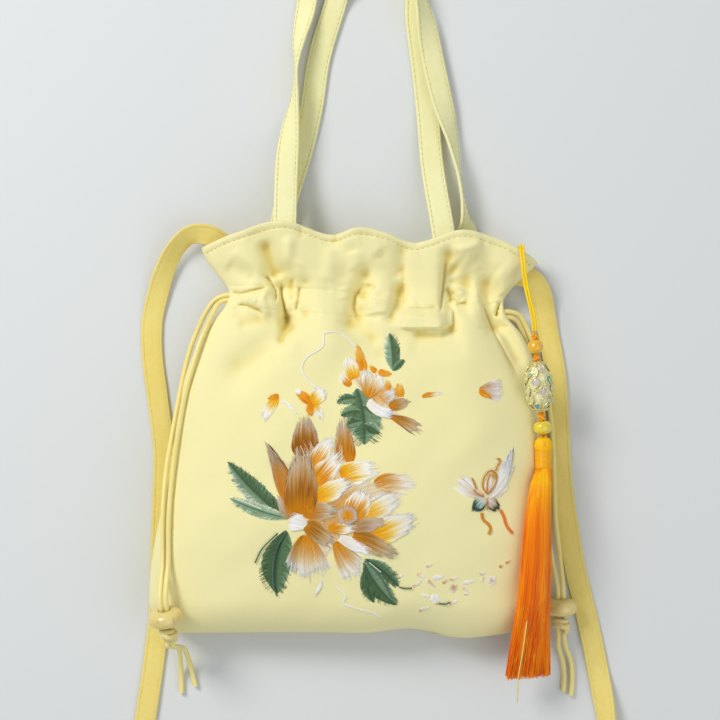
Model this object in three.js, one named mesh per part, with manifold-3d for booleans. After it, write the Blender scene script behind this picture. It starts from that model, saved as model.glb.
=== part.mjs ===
// A small drawstring handbag of soft cloth, lying on its back: a gathered pouch of two
// sewn panels, two carrying handles, a long shoulder strap, drawstrings closed by wooden
// beads, and a beaded charm with a silk tassel that lies over the right side.
//
// Millimetres. +Z points up from the surface that the bag lies on, +Y from its base to its
// handles and +X to the right of its embroidered front. The origin is on the flat of the
// back panel, at the middle of the pouch.

import * as THREE from "three";
import Module from "manifold-3d";
import { mergeVertices } from "three/addons/utils/BufferGeometryUtils.js";

// Pouch
const bodyWidth = 220; // across the widest part, just above the base
const bodyHeight = 226; // base seam to the rim's reference line
const bodyDepth = 46; // surface to the top of the front panel
const seamHeight = 15; // side and base seams above the surface
const cornerRadius = 21; // the base's corners and the turn of its lower edge
const wall = 1.8; // outer cloth and lining together
const frillHeight = 40; // rim's reference line down to the top of the channel
const channelHeight = 13; // sewn channel that the drawstrings run in
const baseWave = 5; // how far the base seam strays from a straight line
const backRimDrop = 4; // the back's rim lies this much lower, out of sight

// Bands
const handleWidth = 13.2;
const handleThickness = 2;
const handleSeam = 16; // sewn length inside the rim
const frontHandleRise = 206; // rim's reference line to the top of the front handle
const frontHandleSpan = 88; // between the middles of the handle's two ends
const rearHandleRise = 176;
const rearHandleSpan = 105;
const frontHandleMiddle = 10.3; // right of the pouch's middle
const rearHandleMiddle = 15.4;
const strapWidth = 12.4;
const strapThickness = 1.8;
const strapDrop = 285; // base seam to the far end of the strap's loop
const strapSpread = 264; // across the strap's loop, below the pouch

// Drawstrings
const cordDiameter = 2.8;
const cordPitch = 3.1; // between the two strands of a pair
const channelMouth = 7.4; // hole in the side seam that a pair comes out of
const toggleDiameter = 18.8;
const toggleLength = 10;
const toggleBore = 6.8;
const knotWidth = 10.6;
const knotLength = 8.6;

// Charm
const charmDrop = 57.9; // top knot to the tassel's head
const charmLean = 5.3; // how far to the right it drops
const charmCordDiameter = 1.4;
const threadDiameter = 1.4;
const threadKnotDiameter = 3.6;
const charmBore = 2.2;
const upperBeadDiameter = 8.8;
const filigreeDiameter = 15.4;
const filigreeLength = 28.6;
const filigreeWall = 1.1;
const filigreeRows = 5;
const filigreeColumns = 7;
const lowerBeadDiameter = 10;
const lowerBeadLength = 7.6;
const tasselHeadDiameter = 9.4;
const tasselHeadLength = 17;
const tasselSkirtLength = 115;
const tasselSkirtWidth = 27.4;
const tasselSkirtDepth = 10;
const tasselLocks = 9;

// Clearances
const fit = 0.3; // between pieces that touch
const frontGatherRoom = 1; // between a handle's sewn end and the gathers of its panel
const rearGatherRoom = 1.5;

const halfWidth = bodyWidth / 2;
const baseY = -bodyHeight / 2;
const rimReferenceY = bodyHeight / 2;

// Outline and thickness of the pouch from the base up. up: share of bodyHeight. left and
// right: shares of half bodyWidth. crown: share of bodyDepth. seam: share of seamHeight.
const sections = [
  { up: 0.0, left: 1.0, right: 1.0, crown: 0.72, seam: 1.0 },
  { up: 0.1, left: 1.0, right: 1.0, crown: 0.84, seam: 1.0 },
  { up: 0.2, left: 0.98, right: 0.997, crown: 0.94, seam: 1.0 },
  { up: 0.3, left: 0.94, right: 0.994, crown: 1.0, seam: 1.0 },
  { up: 0.38, left: 0.9, right: 0.99, crown: 1.0, seam: 0.98 },
  { up: 0.46, left: 0.865, right: 0.985, crown: 0.97, seam: 0.95 },
  { up: 0.54, left: 0.846, right: 0.978, crown: 0.92, seam: 0.9 },
  { up: 0.62, left: 0.826, right: 0.966, crown: 0.85, seam: 0.85 },
  { up: 0.68, left: 0.785, right: 0.948, crown: 0.78, seam: 0.8 },
  { up: 0.74, left: 0.728, right: 0.893, crown: 0.68, seam: 0.74 },
  { up: 0.78, left: 0.662, right: 0.825, crown: 0.58, seam: 0.7 },
  { up: 0.82, left: 0.606, right: 0.804, crown: 0.5, seam: 0.66 },
  { up: 0.85, left: 0.602, right: 0.842, crown: 0.47, seam: 0.64 },
  { up: 0.89, left: 0.662, right: 0.925, crown: 0.52, seam: 0.62 },
  { up: 0.92, left: 0.71, right: 0.985, crown: 0.57, seam: 0.62 },
  { up: 0.96, left: 0.745, right: 1.0, crown: 0.6, seam: 0.64 },
  { up: 1.04, left: 0.765, right: 1.0, crown: 0.62, seam: 0.66 },
];

// The ruffled rim and the channel under it, from the left side seam to the right one.
// across: -1 to 1. drop and neck: the rim and the channel's top below the rim's reference
// line, shares of frillHeight. lift: ruffle of the rim, share of bodyDepth.
const rim = [
  { across: -1.0, drop: 0.27, neck: 0.8, lift: 0.0 },
  { across: -0.78, drop: 0.08, neck: 0.8, lift: 0.04 },
  { across: -0.5, drop: -0.08, neck: 0.83, lift: 0.1 },
  { across: -0.23, drop: 0.1, neck: 0.88, lift: -0.09 },
  { across: -0.07, drop: 0.01, neck: 0.9, lift: 0.06 },
  { across: 0.08, drop: 0.07, neck: 0.93, lift: -0.01 },
  { across: 0.25, drop: 0.21, neck: 1.02, lift: -0.1 },
  { across: 0.52, drop: 0.04, neck: 1.1, lift: 0.07 },
  { across: 0.7, drop: 0.13, neck: 1.08, lift: 0.0 },
  { across: 0.88, drop: 0.32, neck: 1.05, lift: 0.02 },
  { across: 1.0, drop: 0.48, neck: 1.04, lift: 0.0 },
];

// The base seam's small waves. rise: share of baseWave.
const base = [
  { across: -1.0, rise: 0.0 },
  { across: -0.5, rise: 0.1 },
  { across: -0.1, rise: 0.1 },
  { across: 0.12, rise: 0.05 },
  { across: 0.36, rise: 0.5 },
  { across: 0.72, rise: -0.5 },
  { across: 1.0, rise: -0.1 },
];

// Folds and dents of the front, each a stroke from one place to another. across and up:
// shares of half bodyWidth and bodyHeight. wide: shares of half bodyWidth. rise: share of
// bodyDepth, and less than 0 for a valley.
const frontFolds = [
  { name: "left pinch", across: -0.31, up: 0.89, toAcross: -0.285, toUp: 0.76, wide: 0.045, rise: -0.14 },
  { name: "pinch to rim", across: -0.33, up: 0.87, toAcross: -0.43, toUp: 0.97, wide: 0.07, rise: -0.09 },
  { name: "sweep to left side", across: -0.3, up: 0.77, toAcross: -0.56, toUp: 0.64, wide: 0.1, rise: -0.1 },
  { name: "left channel puff", across: -0.48, up: 0.835, toAcross: -0.38, toUp: 0.815, wide: 0.09, rise: 0.08 },
  { name: "under left channel", across: -0.55, up: 0.79, toAcross: -0.4, toUp: 0.775, wide: 0.05, rise: -0.05 },
  { name: "beside pinch", across: -0.21, up: 0.86, toAcross: -0.215, toUp: 0.79, wide: 0.035, rise: -0.09 },
  { name: "middle puff", across: -0.13, up: 0.85, toAcross: -0.08, toUp: 0.72, wide: 0.1, rise: 0.07 },
  { name: "swirl", across: 0.09, up: 0.88, toAcross: 0.03, toUp: 0.77, wide: 0.045, rise: -0.1 },
  { name: "swirl foot", across: 0.04, up: 0.76, toAcross: 0.17, toUp: 0.7, wide: 0.07, rise: -0.08 },
  { name: "swirl puff", across: 0.17, up: 0.84, toAcross: 0.2, toUp: 0.79, wide: 0.07, rise: 0.06 },
  { name: "frill dip", across: 0.1, up: 0.9, toAcross: 0.09, toUp: 0.97, wide: 0.06, rise: -0.06 },
  { name: "tab left edge", across: 0.28, up: 0.94, toAcross: 0.28, toUp: 0.81, wide: 0.035, rise: -0.06 },
  { name: "tab right edge", across: 0.52, up: 0.93, toAcross: 0.53, toUp: 0.755, wide: 0.04, rise: -0.14 },
  { name: "tab foot", across: 0.28, up: 0.775, toAcross: 0.48, toUp: 0.772, wide: 0.06, rise: 0.07 },
  { name: "under tab", across: 0.26, up: 0.735, toAcross: 0.5, toUp: 0.735, wide: 0.06, rise: -0.05 },
  { name: "right gather", across: 0.62, up: 0.87, toAcross: 0.6, toUp: 0.8, wide: 0.035, rise: -0.08 },
  { name: "side crease", across: 0.71, up: 0.86, toAcross: 0.75, toUp: 0.76, wide: 0.045, rise: -0.14 },
  { name: "side hollow", across: 0.8, up: 0.76, toAcross: 0.95, toUp: 0.62, wide: 0.08, rise: -0.14 },
  { name: "right frill roll", across: 0.78, up: 0.9, toAcross: 0.9, toUp: 0.88, wide: 0.07, rise: 0.07 },
  { name: "long right drape", across: 0.56, up: 0.74, toAcross: 0.66, toUp: 0.5, wide: 0.14, rise: 0.05 },
  { name: "middle drape", across: 0.0, up: 0.7, toAcross: -0.1, toUp: 0.5, wide: 0.15, rise: -0.05 },
];

// Gathers of the back, which rise from the surface that it lies on.
const backFolds = [
  { name: "gather 1", across: -0.46, up: 0.91, toAcross: -0.52, toUp: 0.72, wide: 0.05, rise: 0.06 },
  { name: "gather 2", across: -0.25, up: 0.93, toAcross: -0.27, toUp: 0.68, wide: 0.055, rise: 0.08 },
  { name: "gather 3", across: -0.04, up: 0.91, toAcross: -0.02, toUp: 0.71, wide: 0.05, rise: 0.07 },
  { name: "gather 4", across: 0.2, up: 0.92, toAcross: 0.21, toUp: 0.69, wide: 0.055, rise: 0.08 },
  { name: "gather 5", across: 0.43, up: 0.91, toAcross: 0.47, toUp: 0.7, wide: 0.05, rise: 0.075 },
  { name: "gather 6", across: 0.64, up: 0.9, toAcross: 0.7, toUp: 0.71, wide: 0.05, rise: 0.06 },
];

// Path of each handle beyond the rim. across: share of half the handle's span, from its
// middle. up: share of its rise above the rim's reference line. lift: its lowest edge above
// the surface, share of handleWidth. turn: degrees, 0 where it lies flat and 90 on its edge.
const frontHandlePath = [
  { across: -0.985, up: 0.18, lift: 0.9, turn: 5 },
  { across: -0.94, up: 0.28, lift: 0.4, turn: 40 },
  { across: -0.89, up: 0.36, lift: 0.2, turn: 72 },
  { across: -0.87, up: 0.44, lift: 0.1, turn: 84 },
  { across: -0.84, up: 0.51, lift: 0.06, turn: 60 },
  { across: -0.74, up: 0.62, lift: 0.04, turn: 28 },
  { across: -0.68, up: 0.74, lift: 0.04, turn: 55 },
  { across: -0.56, up: 0.86, lift: 0.04, turn: 85 },
  { across: -0.3, up: 0.97, lift: 0.04, turn: 90 },
  { across: 0.04, up: 1.0, lift: 0.04, turn: 90 },
  { across: 0.45, up: 0.96, lift: 0.04, turn: 88 },
  { across: 0.7, up: 0.86, lift: 0.04, turn: 60 },
  { across: 0.75, up: 0.75, lift: 0.03, turn: 0 },
  { across: 0.7, up: 0.67, lift: 0.03, turn: 0 },
  { across: 0.67, up: 0.6, lift: 0.03, turn: 0 },
  { across: 0.75, up: 0.45, lift: 0.03, turn: 0 },
  { across: 0.81, up: 0.33, lift: 0.08, turn: 0 },
  { across: 0.87, up: 0.17, lift: 0.5, turn: 0 },
];
const rearHandlePath = [
  { across: -0.93, up: 0.1, lift: 0.26, turn: 0 },
  { across: -0.78, up: 0.25, lift: 0.06, turn: 0 },
  { across: -0.67, up: 0.39, lift: 0.03, turn: 0 },
  { across: -0.58, up: 0.56, lift: 0.03, turn: 0 },
  { across: -0.4, up: 0.74, lift: 0.04, turn: 5 },
  { across: -0.27, up: 0.88, lift: 0.04, turn: 75 },
  { across: -0.13, up: 0.97, lift: 0.04, turn: 90 },
  { across: 0.04, up: 1.0, lift: 0.04, turn: 90 },
  { across: 0.18, up: 0.96, lift: 0.06, turn: 90 },
  { across: 0.3, up: 0.88, lift: 0.1, turn: 88 },
  { across: 0.42, up: 0.8, lift: 0.26, turn: 74 },
  { across: 0.52, up: 0.72, lift: 0.26, turn: 52 },
  { across: 0.62, up: 0.57, lift: 0.26, turn: 12 },
  { across: 0.73, up: 0.42, lift: 0.26, turn: 20 },
  { across: 0.85, up: 0.28, lift: 0.12, turn: 60 },
  { across: 0.93, up: 0.14, lift: 0.12, turn: 86 },
  { across: 0.99, up: 0.03, lift: 0.14, turn: 62 },
];

// Path of the shoulder strap. Beside the pouch, across: share of half bodyWidth, up: share
// of bodyHeight. Below it, across: share of half strapSpread, up: share of strapDrop under
// the base. lift: its lowest edge above the surface, share of seamHeight. turn: degrees.
const strapPath = [
  { across: -0.53, up: 0.925, lift: 0.64, turn: 0 },
  { across: -0.62, up: 0.96, lift: 0.62, turn: 0 },
  { across: -0.7, up: 0.985, lift: 0.6, turn: 14 },
  { across: -0.79, up: 0.987, lift: 0.4, turn: 34 },
  { across: -0.87, up: 0.955, lift: 0.22, turn: 38 },
  { across: -0.93, up: 0.9, lift: 0.12, turn: 26 },
  { across: -0.975, up: 0.83, lift: 0.05, turn: 8 },
  { across: -1.0, up: 0.77, lift: 0.02, turn: 0 },
  { across: -1.0, up: 0.69, lift: 0.02, turn: 0 },
  { across: -0.97, up: 0.575, lift: 0.02, turn: 0 },
  { across: -0.94, up: 0.45, lift: 0.02, turn: 0 },
  { across: -0.945, up: 0.32, lift: 0.02, turn: 0 },
  { across: -0.955, up: 0.17, lift: 0.02, turn: 0 },
  { across: -0.965, up: 0.03, lift: 0.02, turn: 0 },
  { across: -0.825, up: -0.06, lift: 0.02, turn: 0 },
  { across: -0.87, up: -0.2, lift: 0.02, turn: 0 },
  { across: -0.93, up: -0.36, lift: 0.03, turn: 30 },
  { across: -0.93, up: -0.52, lift: 0.03, turn: 70 },
  { across: -0.82, up: -0.72, lift: 0.03, turn: 88 },
  { across: -0.52, up: -0.92, lift: 0.03, turn: 90 },
  { across: -0.05, up: -1.0, lift: 0.03, turn: 90 },
  { across: 0.42, up: -0.95, lift: 0.03, turn: 90 },
  { across: 0.8, up: -0.78, lift: 0.03, turn: 88 },
  { across: 1.02, up: -0.55, lift: 0.03, turn: 82 },
  { across: 1.11, up: -0.36, lift: 0.03, turn: 76 },
  { across: 1.12, up: -0.21, lift: 0.03, turn: 50 },
  { across: 1.08, up: -0.08, lift: 0.02, turn: 0 },
  { across: 1.225, up: 0.06, lift: 0.02, turn: 0 },
  { across: 1.18, up: 0.15, lift: 0.02, turn: 0 },
  { across: 1.145, up: 0.25, lift: 0.02, turn: 0 },
  { across: 1.11, up: 0.375, lift: 0.02, turn: 0 },
  { across: 1.095, up: 0.52, lift: 0.02, turn: 0 },
  { across: 1.085, up: 0.64, lift: 0.02, turn: 0 },
  { across: 1.05, up: 0.75, lift: 0.02, turn: 0 },
  { across: 1.047, up: 0.815, lift: 0.04, turn: 8 },
  { across: 1.046, up: 0.862, lift: 0.08, turn: 32 },
  { across: 1.038, up: 0.9, lift: 0.1, turn: 66 },
  { across: 1.022, up: 0.93, lift: 0.12, turn: 86 },
  { across: 0.995, up: 0.953, lift: 0.22, turn: 75 },
  { across: 0.955, up: 0.96, lift: 0.4, turn: 50 },
  { across: 0.905, up: 0.953, lift: 0.5, turn: 22 },
  { across: 0.86, up: 0.94, lift: 0.58, turn: 6 },
  { across: 0.8, up: 0.918, lift: 0.6, turn: 0 },
];

// Tassel's skirt, from the wrapped head to its tips. down: share of tasselSkirtLength.
// drift: sideways from the head, and wide: shares of tasselSkirtWidth. deep: share of
// tasselSkirtDepth. tilt: degrees that its right side hangs down.
const skirtPath = [
  { down: 0.0, drift: 0.0, wide: 0.31, deep: 0.82, tilt: 6 },
  { down: 0.03, drift: -0.03, wide: 0.38, deep: 0.95, tilt: 12 },
  { down: 0.08, drift: -0.07, wide: 0.44, deep: 1.0, tilt: 20 },
  { down: 0.22, drift: -0.13, wide: 0.56, deep: 1.02, tilt: 30 },
  { down: 0.38, drift: -0.155, wide: 0.68, deep: 1.0, tilt: 34 },
  { down: 0.52, drift: -0.18, wide: 0.75, deep: 0.96, tilt: 35 },
  { down: 0.66, drift: -0.21, wide: 0.82, deep: 0.92, tilt: 34 },
  { down: 0.8, drift: -0.245, wide: 0.9, deep: 0.88, tilt: 31 },
  { down: 0.92, drift: -0.265, wide: 0.97, deep: 0.82, tilt: 27 },
  { down: 1.0, drift: -0.28, wide: 1.0, deep: 0.74, tilt: 24 },
];

const archPower = 2.3; // how squarely the front arches from seam to seam
const backPower = 4;
const backFlat = 1.05; // over 1, so that the middle of the back is truly flat

const { abs, cos, hypot, max, min, PI, sin, sign, sqrt } = Math;
const clamp = (value, low, high) => min(max(value, low), high);
const mix = (a, b, t) => a + (b - a) * t;
const radians = (degrees) => (degrees * PI) / 180;

// One column of a table, smoothly read between its rows.
function read(table, key, column, at) {
  const last = table.length - 1;
  const place = clamp(at, table[0][key], table[last][key]);
  let i = 0;
  while (i < last - 1 && table[i + 1][key] < place) i++;
  const span = table[i + 1][key] - table[i][key];
  const slope = (j) => {
    const [a, b] = [table[max(j - 1, 0)], table[min(j + 1, last)]];
    return ((b[column] - a[column]) / (b[key] - a[key])) * span;
  };
  const t = (place - table[i][key]) / span;
  return (
    table[i][column] * (2 * t ** 3 - 3 * t ** 2 + 1) +
    slope(i) * (t ** 3 - 2 * t ** 2 + t) +
    table[i + 1][column] * (3 * t ** 2 - 2 * t ** 3) +
    slope(i + 1) * (t ** 3 - t ** 2)
  );
}

// Shape of the pouch
const rimY = (s) => rimReferenceY - frillHeight * read(rim, "across", "drop", s);
const backRimY = (s) => rimY(s) - backRimDrop * (1 - s * s);
const neckTopY = (s) => rimReferenceY - frillHeight * read(rim, "across", "neck", s);
const neckLowY = (s) => neckTopY(s) - channelHeight;
const baseSeamY = (s) => baseY + baseWave * read(base, "across", "rise", s);
const upAt = (y) => (y - baseY) / bodyHeight;
const seamZ = (y) => seamHeight * read(sections, "up", "seam", upAt(y));

// A quarter round from 0 at the base seam to 1 at the corner radius above it.
const quarterRound = (rise) => sqrt(1 - (1 - clamp(rise / cornerRadius, 0, 1)) ** 2);

function sides(y) {
  const inset = cornerRadius * (1 - quarterRound(y - baseY));
  return {
    left: -halfWidth * read(sections, "up", "left", upAt(y)) + inset,
    right: halfWidth * read(sections, "up", "right", upAt(y)) - inset,
  };
}

function acrossAt(x, y) {
  const { left, right } = sides(y);
  return clamp((2 * x - left - right) / (right - left), -1, 1);
}

// How far the folds lift or lower the cloth at a place.
function foldRise(folds, x, y) {
  let rise = 0;
  for (const fold of folds) {
    const start = new THREE.Vector2(fold.across * halfWidth, baseY + fold.up * bodyHeight);
    const end = new THREE.Vector2(fold.toAcross * halfWidth, baseY + fold.toUp * bodyHeight);
    const along = end.clone().sub(start);
    const t = clamp(new THREE.Vector2(x, y).sub(start).dot(along) / along.lengthSq(), 0, 1);
    const away = start.addScaledVector(along, t).distanceTo(new THREE.Vector2(x, y));
    rise += fold.rise * bodyDepth * Math.exp(-((away / (fold.wide * halfWidth)) ** 2));
  }
  return rise;
}

// Folds and ruffles die out towards the side seams.
const seamFade = (s) => THREE.MathUtils.smoothstep(1 - abs(s), 0, 0.14);

function frontZ(x, y) {
  const s = acrossAt(x, y);
  const seam = seamZ(y);
  const crown = bodyDepth * read(sections, "up", "crown", upAt(y));
  const arch = (1 - abs(s) ** archPower) ** (1 / archPower);
  const round = quarterRound(y - baseSeamY(s));
  const frill = clamp((y - neckTopY(s)) / (rimY(s) - neckTopY(s)), 0, 1);
  const ruffle = bodyDepth * read(rim, "across", "lift", s) * frill;
  return seam + (crown - seam) * arch * round + (foldRise(frontFolds, x, y) * round + ruffle) * seamFade(s);
}

function backZ(x, y) {
  const s = acrossAt(x, y);
  const arch = (1 - abs(s) ** backPower) ** (1 / backPower);
  const round = quarterRound(y - baseSeamY(s));
  const dish = max(0, seamZ(y) * (1 - backFlat * arch * round));
  return dish + foldRise(backFolds, x, y) * seamFade(s) * round;
}

// Solids
function solid(points, faces) {
  const positions = new Float32Array(points.flatMap((p) => [p.x, p.y, p.z]));
  const volume = faces.reduce((sum, [a, b, c]) => sum + points[a].dot(points[b].clone().cross(points[c])), 0);
  const turned = volume < 0 ? faces.map(([a, b, c]) => [a, c, b]) : faces;
  const geometry = new THREE.BufferGeometry();
  geometry.setAttribute("position", new THREE.BufferAttribute(positions, 3));
  geometry.setIndex(turned.flat());
  geometry.computeVertexNormals();
  return geometry;
}

// A closed skin over rings of points, with its two ends filled from their middles.
function loft(rings) {
  const count = rings[0].length;
  const points = rings.flat();
  const faces = [];
  const index = (ring, i) => ring * count + (i % count);
  for (let r = 0; r < rings.length - 1; r++) {
    for (let i = 0; i < count; i++) {
      faces.push([index(r, i), index(r, i + 1), index(r + 1, i + 1)]);
      faces.push([index(r, i), index(r + 1, i + 1), index(r + 1, i)]);
    }
  }
  for (const [ring, flip] of [[0, true], [rings.length - 1, false]]) {
    const middle = new THREE.Vector3();
    rings[ring].forEach((p) => middle.addScaledVector(p, 1 / count));
    points.push(middle);
    for (let i = 0; i < count; i++) {
      const edge = [index(ring, i), index(ring, i + 1)];
      faces.push(flip ? [edge[1], edge[0], points.length - 1] : [...edge, points.length - 1]);
    }
  }
  return solid(points, faces);
}

// One panel of cloth with thickness: an outer grid, the same grid moved inwards, and the
// strips that join their edges.
function clothPanel({ height, rimLine, columns, rows, seamSide }) {
  const outer = [];
  for (const row of rows) {
    for (let i = 0; i <= columns; i++) {
      const t = (2 * i) / columns - 1;
      const s = mix(t, sin((t * PI) / 2), 0.75);
      const turnEnd = baseSeamY(s) + cornerRadius;
      const y = {
        turn: () => mix(baseSeamY(s), turnEnd, 1 - cos((row.share * PI) / 2)),
        body: () => mix(turnEnd, neckLowY(s), row.share),
        channel: () => mix(neckLowY(s), neckTopY(s), row.share),
        frill: () => mix(neckTopY(s), rimLine(s), row.share),
      }[row.zone]();
      const { left, right } = sides(y);
      const x = mix(left, right, (s + 1) / 2);
      const onSeam = i === 0 || i === columns || row === rows[0];
      const z = onSeam ? seamZ(y) : height(x, y);
      outer.push(new THREE.Vector3(x, y, z + (onSeam ? (seamSide * fit) / 2 : 0)));
    }
  }
  const wide = columns + 1;
  const grid = [];
  for (let r = 0; r < rows.length - 1; r++) {
    for (let i = 0; i < columns; i++) {
      const a = r * wide + i;
      grid.push([a, a + 1, a + wide + 1], [a, a + wide + 1, a + wide]);
    }
  }
  const skin = new THREE.BufferGeometry().setFromPoints(outer);
  skin.setIndex(grid.flat());
  skin.computeVertexNormals();
  const normals = skin.getAttribute("normal");
  const inner = outer.map((point, k) => {
    const normal = new THREE.Vector3().fromBufferAttribute(normals, k).multiplyScalar(seamSide);
    const column = k % wide;
    if (column === 0 || column === columns || k < wide) normal.setZ(0).normalize();
    return point.clone().addScaledVector(normal, -wall);
  });
  const total = outer.length;
  const faces = [...grid, ...grid.map(([a, b, c]) => [a + total, c + total, b + total])];
  const edge = [];
  for (let i = 0; i < columns; i++) edge.push(i);
  for (let r = 0; r < rows.length - 1; r++) edge.push(r * wide + columns);
  for (let i = columns; i > 0; i--) edge.push((rows.length - 1) * wide + i);
  for (let r = rows.length - 1; r > 0; r--) edge.push(r * wide);
  edge.forEach((a, k) => {
    const b = edge[(k + 1) % edge.length];
    faces.push([a, a + total, b + total], [a, b + total, b]);
  });
  return solid([...outer, ...inner], faces);
}

const zoneRows = (zone, count, from = 1) =>
  Array.from({ length: count }, (_, k) => ({ zone, share: (k + from) / (count - 1 + from) }));

// A flat band swept along stops. turn is 0 where it lies flat and 90 on its edge, and lift
// is how far its lowest edge clears the surface.
function band(stops, width, thickness, stepsEach) {
  const curve = new THREE.CatmullRomCurve3(stops.map(({ x, y }) => new THREE.Vector3(x, y, 0)), false, "centripetal");
  const table = stops.map((stop, i) => ({ i, ...stop }));
  const steps = (stops.length - 1) * stepsEach;
  const centres = [];
  const turns = [];
  for (let k = 0; k <= steps; k++) {
    const turn = radians(read(table, "i", "turn", k / stepsEach));
    const reach = (abs(sin(turn)) * width + abs(cos(turn)) * thickness) / 2;
    centres.push(curve.getPoint(k / steps).setZ(read(table, "i", "lift", k / stepsEach) + reach));
    turns.push(turn);
  }
  const rings = centres.map((centre, k) => {
    const tangent = centres[min(k + 1, steps)].clone().sub(centres[max(k - 1, 0)]).normalize();
    const side = new THREE.Vector3(tangent.y, -tangent.x, 0).normalize();
    const top = side.clone().cross(tangent);
    const across = side.multiplyScalar(cos(turns[k])).addScaledVector(top, sin(turns[k]));
    const through = across.clone().cross(tangent);
    return [[1, 1], [-1, 1], [-1, -1], [1, -1]].map(([a, b]) =>
      centre.clone().addScaledVector(across, (a * width) / 2).addScaledVector(through, (b * thickness) / 2),
    );
  });
  return loft(rings);
}

// A round cord along a smooth curve.
function cord(points, diameter, sideCount = 8) {
  const curve = new THREE.CatmullRomCurve3(points, false, "centripetal");
  const round = Array.from({ length: sideCount }, (_, i) => {
    const angle = (2 * PI * i) / sideCount;
    return new THREE.Vector2((cos(angle) * diameter) / 2, (sin(angle) * diameter) / 2);
  });
  const steps = max(3, Math.round(curve.getLength() / (3.5 * diameter)));
  return new THREE.ExtrudeGeometry(new THREE.Shape(round), { steps, bevelEnabled: false, extrudePath: curve });
}

// A turned shape with a bore, from the outside profile of one bead along its axis.
function boredBead(outline, bore, sideCount) {
  const profile = [...outline, [bore / 2, outline.at(-1)[1]], [bore / 2, outline[0][1]], outline[0]];
  return new THREE.LatheGeometry(profile.map(([r, y]) => new THREE.Vector2(r, y)), sideCount);
}

// Points of an oval half profile, from bottom to top, cut off where it meets the bore.
function ovalProfile(diameter, length, bore, steps, squareness = 2) {
  const points = [];
  for (let k = 0; k <= steps; k++) {
    const angle = mix(-PI / 2, PI / 2, k / steps);
    const r = (diameter / 2) * cos(angle) ** (2 / squareness);
    const y = (length / 2) * sign(sin(angle)) * abs(sin(angle)) ** (2 / squareness);
    if (r > bore / 2 + 0.2) points.push([r, y]);
  }
  return points;
}

function asSolid(geometry) {
  const bare = geometry.clone();
  bare.deleteAttribute("normal");
  bare.deleteAttribute("uv");
  const merged = mergeVertices(bare, 1e-4);
  const vertProperties = merged.getAttribute("position").array;
  return new wasm.Manifold(new wasm.Mesh({ numProp: 3, vertProperties, triVerts: new Uint32Array(merged.index.array) }));
}

function asGeometry(manifold) {
  const mesh = manifold.getMesh();
  const geometry = new THREE.BufferGeometry();
  geometry.setAttribute("position", new THREE.BufferAttribute(new Float32Array(mesh.vertProperties), 3));
  geometry.setIndex(new THREE.BufferAttribute(new Uint32Array(mesh.triVerts), 1));
  geometry.computeVertexNormals();
  return geometry;
}

const wasm = await Module();
wasm.setup();

const cloth = { color: 0xf4eca4, roughness: 0.75, metalness: 0 };
const looks = {
  cloth: new THREE.MeshStandardMaterial(cloth),
  band: new THREE.MeshStandardMaterial({ ...cloth, color: 0xefe48a }),
  cord: new THREE.MeshStandardMaterial({ ...cloth, color: 0xf3e38f, roughness: 0.5 }),
  wood: new THREE.MeshStandardMaterial({ color: 0xe8cf7c, roughness: 0.35, metalness: 0 }),
  silk: new THREE.MeshStandardMaterial({ color: 0xff8a00, roughness: 0.35, metalness: 0 }),
  yellowCord: new THREE.MeshStandardMaterial({ color: 0xf7c600, roughness: 0.45, metalness: 0 }),
  amber: new THREE.MeshStandardMaterial({ color: 0xf0a800, roughness: 0.15, metalness: 0 }),
  gilt: new THREE.MeshStandardMaterial({ color: 0xd8c878, roughness: 0.3, metalness: 0.8 }),
};

const purse = new THREE.Group();

function add(name, geometry, look, parent = purse) {
  const mesh = new THREE.Mesh(geometry, look);
  mesh.name = name;
  parent.add(mesh);
  return mesh;
}

// Panels, each with half of the two holes in the side seams that the drawstrings use.
const mouthY = (s) => (neckTopY(s) + neckLowY(s)) / 2;
const mouths = [-1, 1].map((s) => {
  const y = mouthY(s);
  const { left, right } = sides(y);
  return { side: s, at: new THREE.Vector3(s < 0 ? left : right, y, seamZ(y)) };
});

function panelWithMouths(panel) {
  let cut = asSolid(clothPanel(panel));
  for (const mouth of mouths) {
    const hole = new THREE.CylinderGeometry(channelMouth / 2, channelMouth / 2, 12, 12);
    hole.rotateZ(PI / 2).translate(mouth.at.x, mouth.at.y, mouth.at.z);
    cut = cut.subtract(asSolid(hole));
  }
  return asGeometry(cut);
}

add(
  "front_panel",
  panelWithMouths({
    height: frontZ,
    rimLine: rimY,
    columns: 34,
    rows: [...zoneRows("turn", 4, 0), ...zoneRows("body", 9), ...zoneRows("channel", 3), ...zoneRows("frill", 4)],
    seamSide: 1,
  }),
  looks.cloth,
);
add(
  "back_panel",
  panelWithMouths({
    height: backZ,
    rimLine: backRimY,
    columns: 24,
    rows: [...zoneRows("turn", 4, 0), ...zoneRows("body", 6), ...zoneRows("channel", 2), ...zoneRows("frill", 3)],
    seamSide: -1,
  }),
  looks.cloth,
);

// Height of a handle's lower face where it lies against the inside of a panel.
function againstPanel(x, y, height, side, room) {
  let nearest = side * Infinity;
  for (let dx = -handleWidth / 2 - 1; dx <= handleWidth / 2 + 1; dx += 1) {
    const slope = (height(x + dx + 1, y) - height(x + dx - 1, y)) / 2;
    const inside = height(x + dx, y) - side * wall * hypot(1, slope);
    nearest = side > 0 ? min(nearest, inside) : max(nearest, inside);
  }
  return side > 0 ? nearest - room - handleThickness : nearest + room;
}

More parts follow.
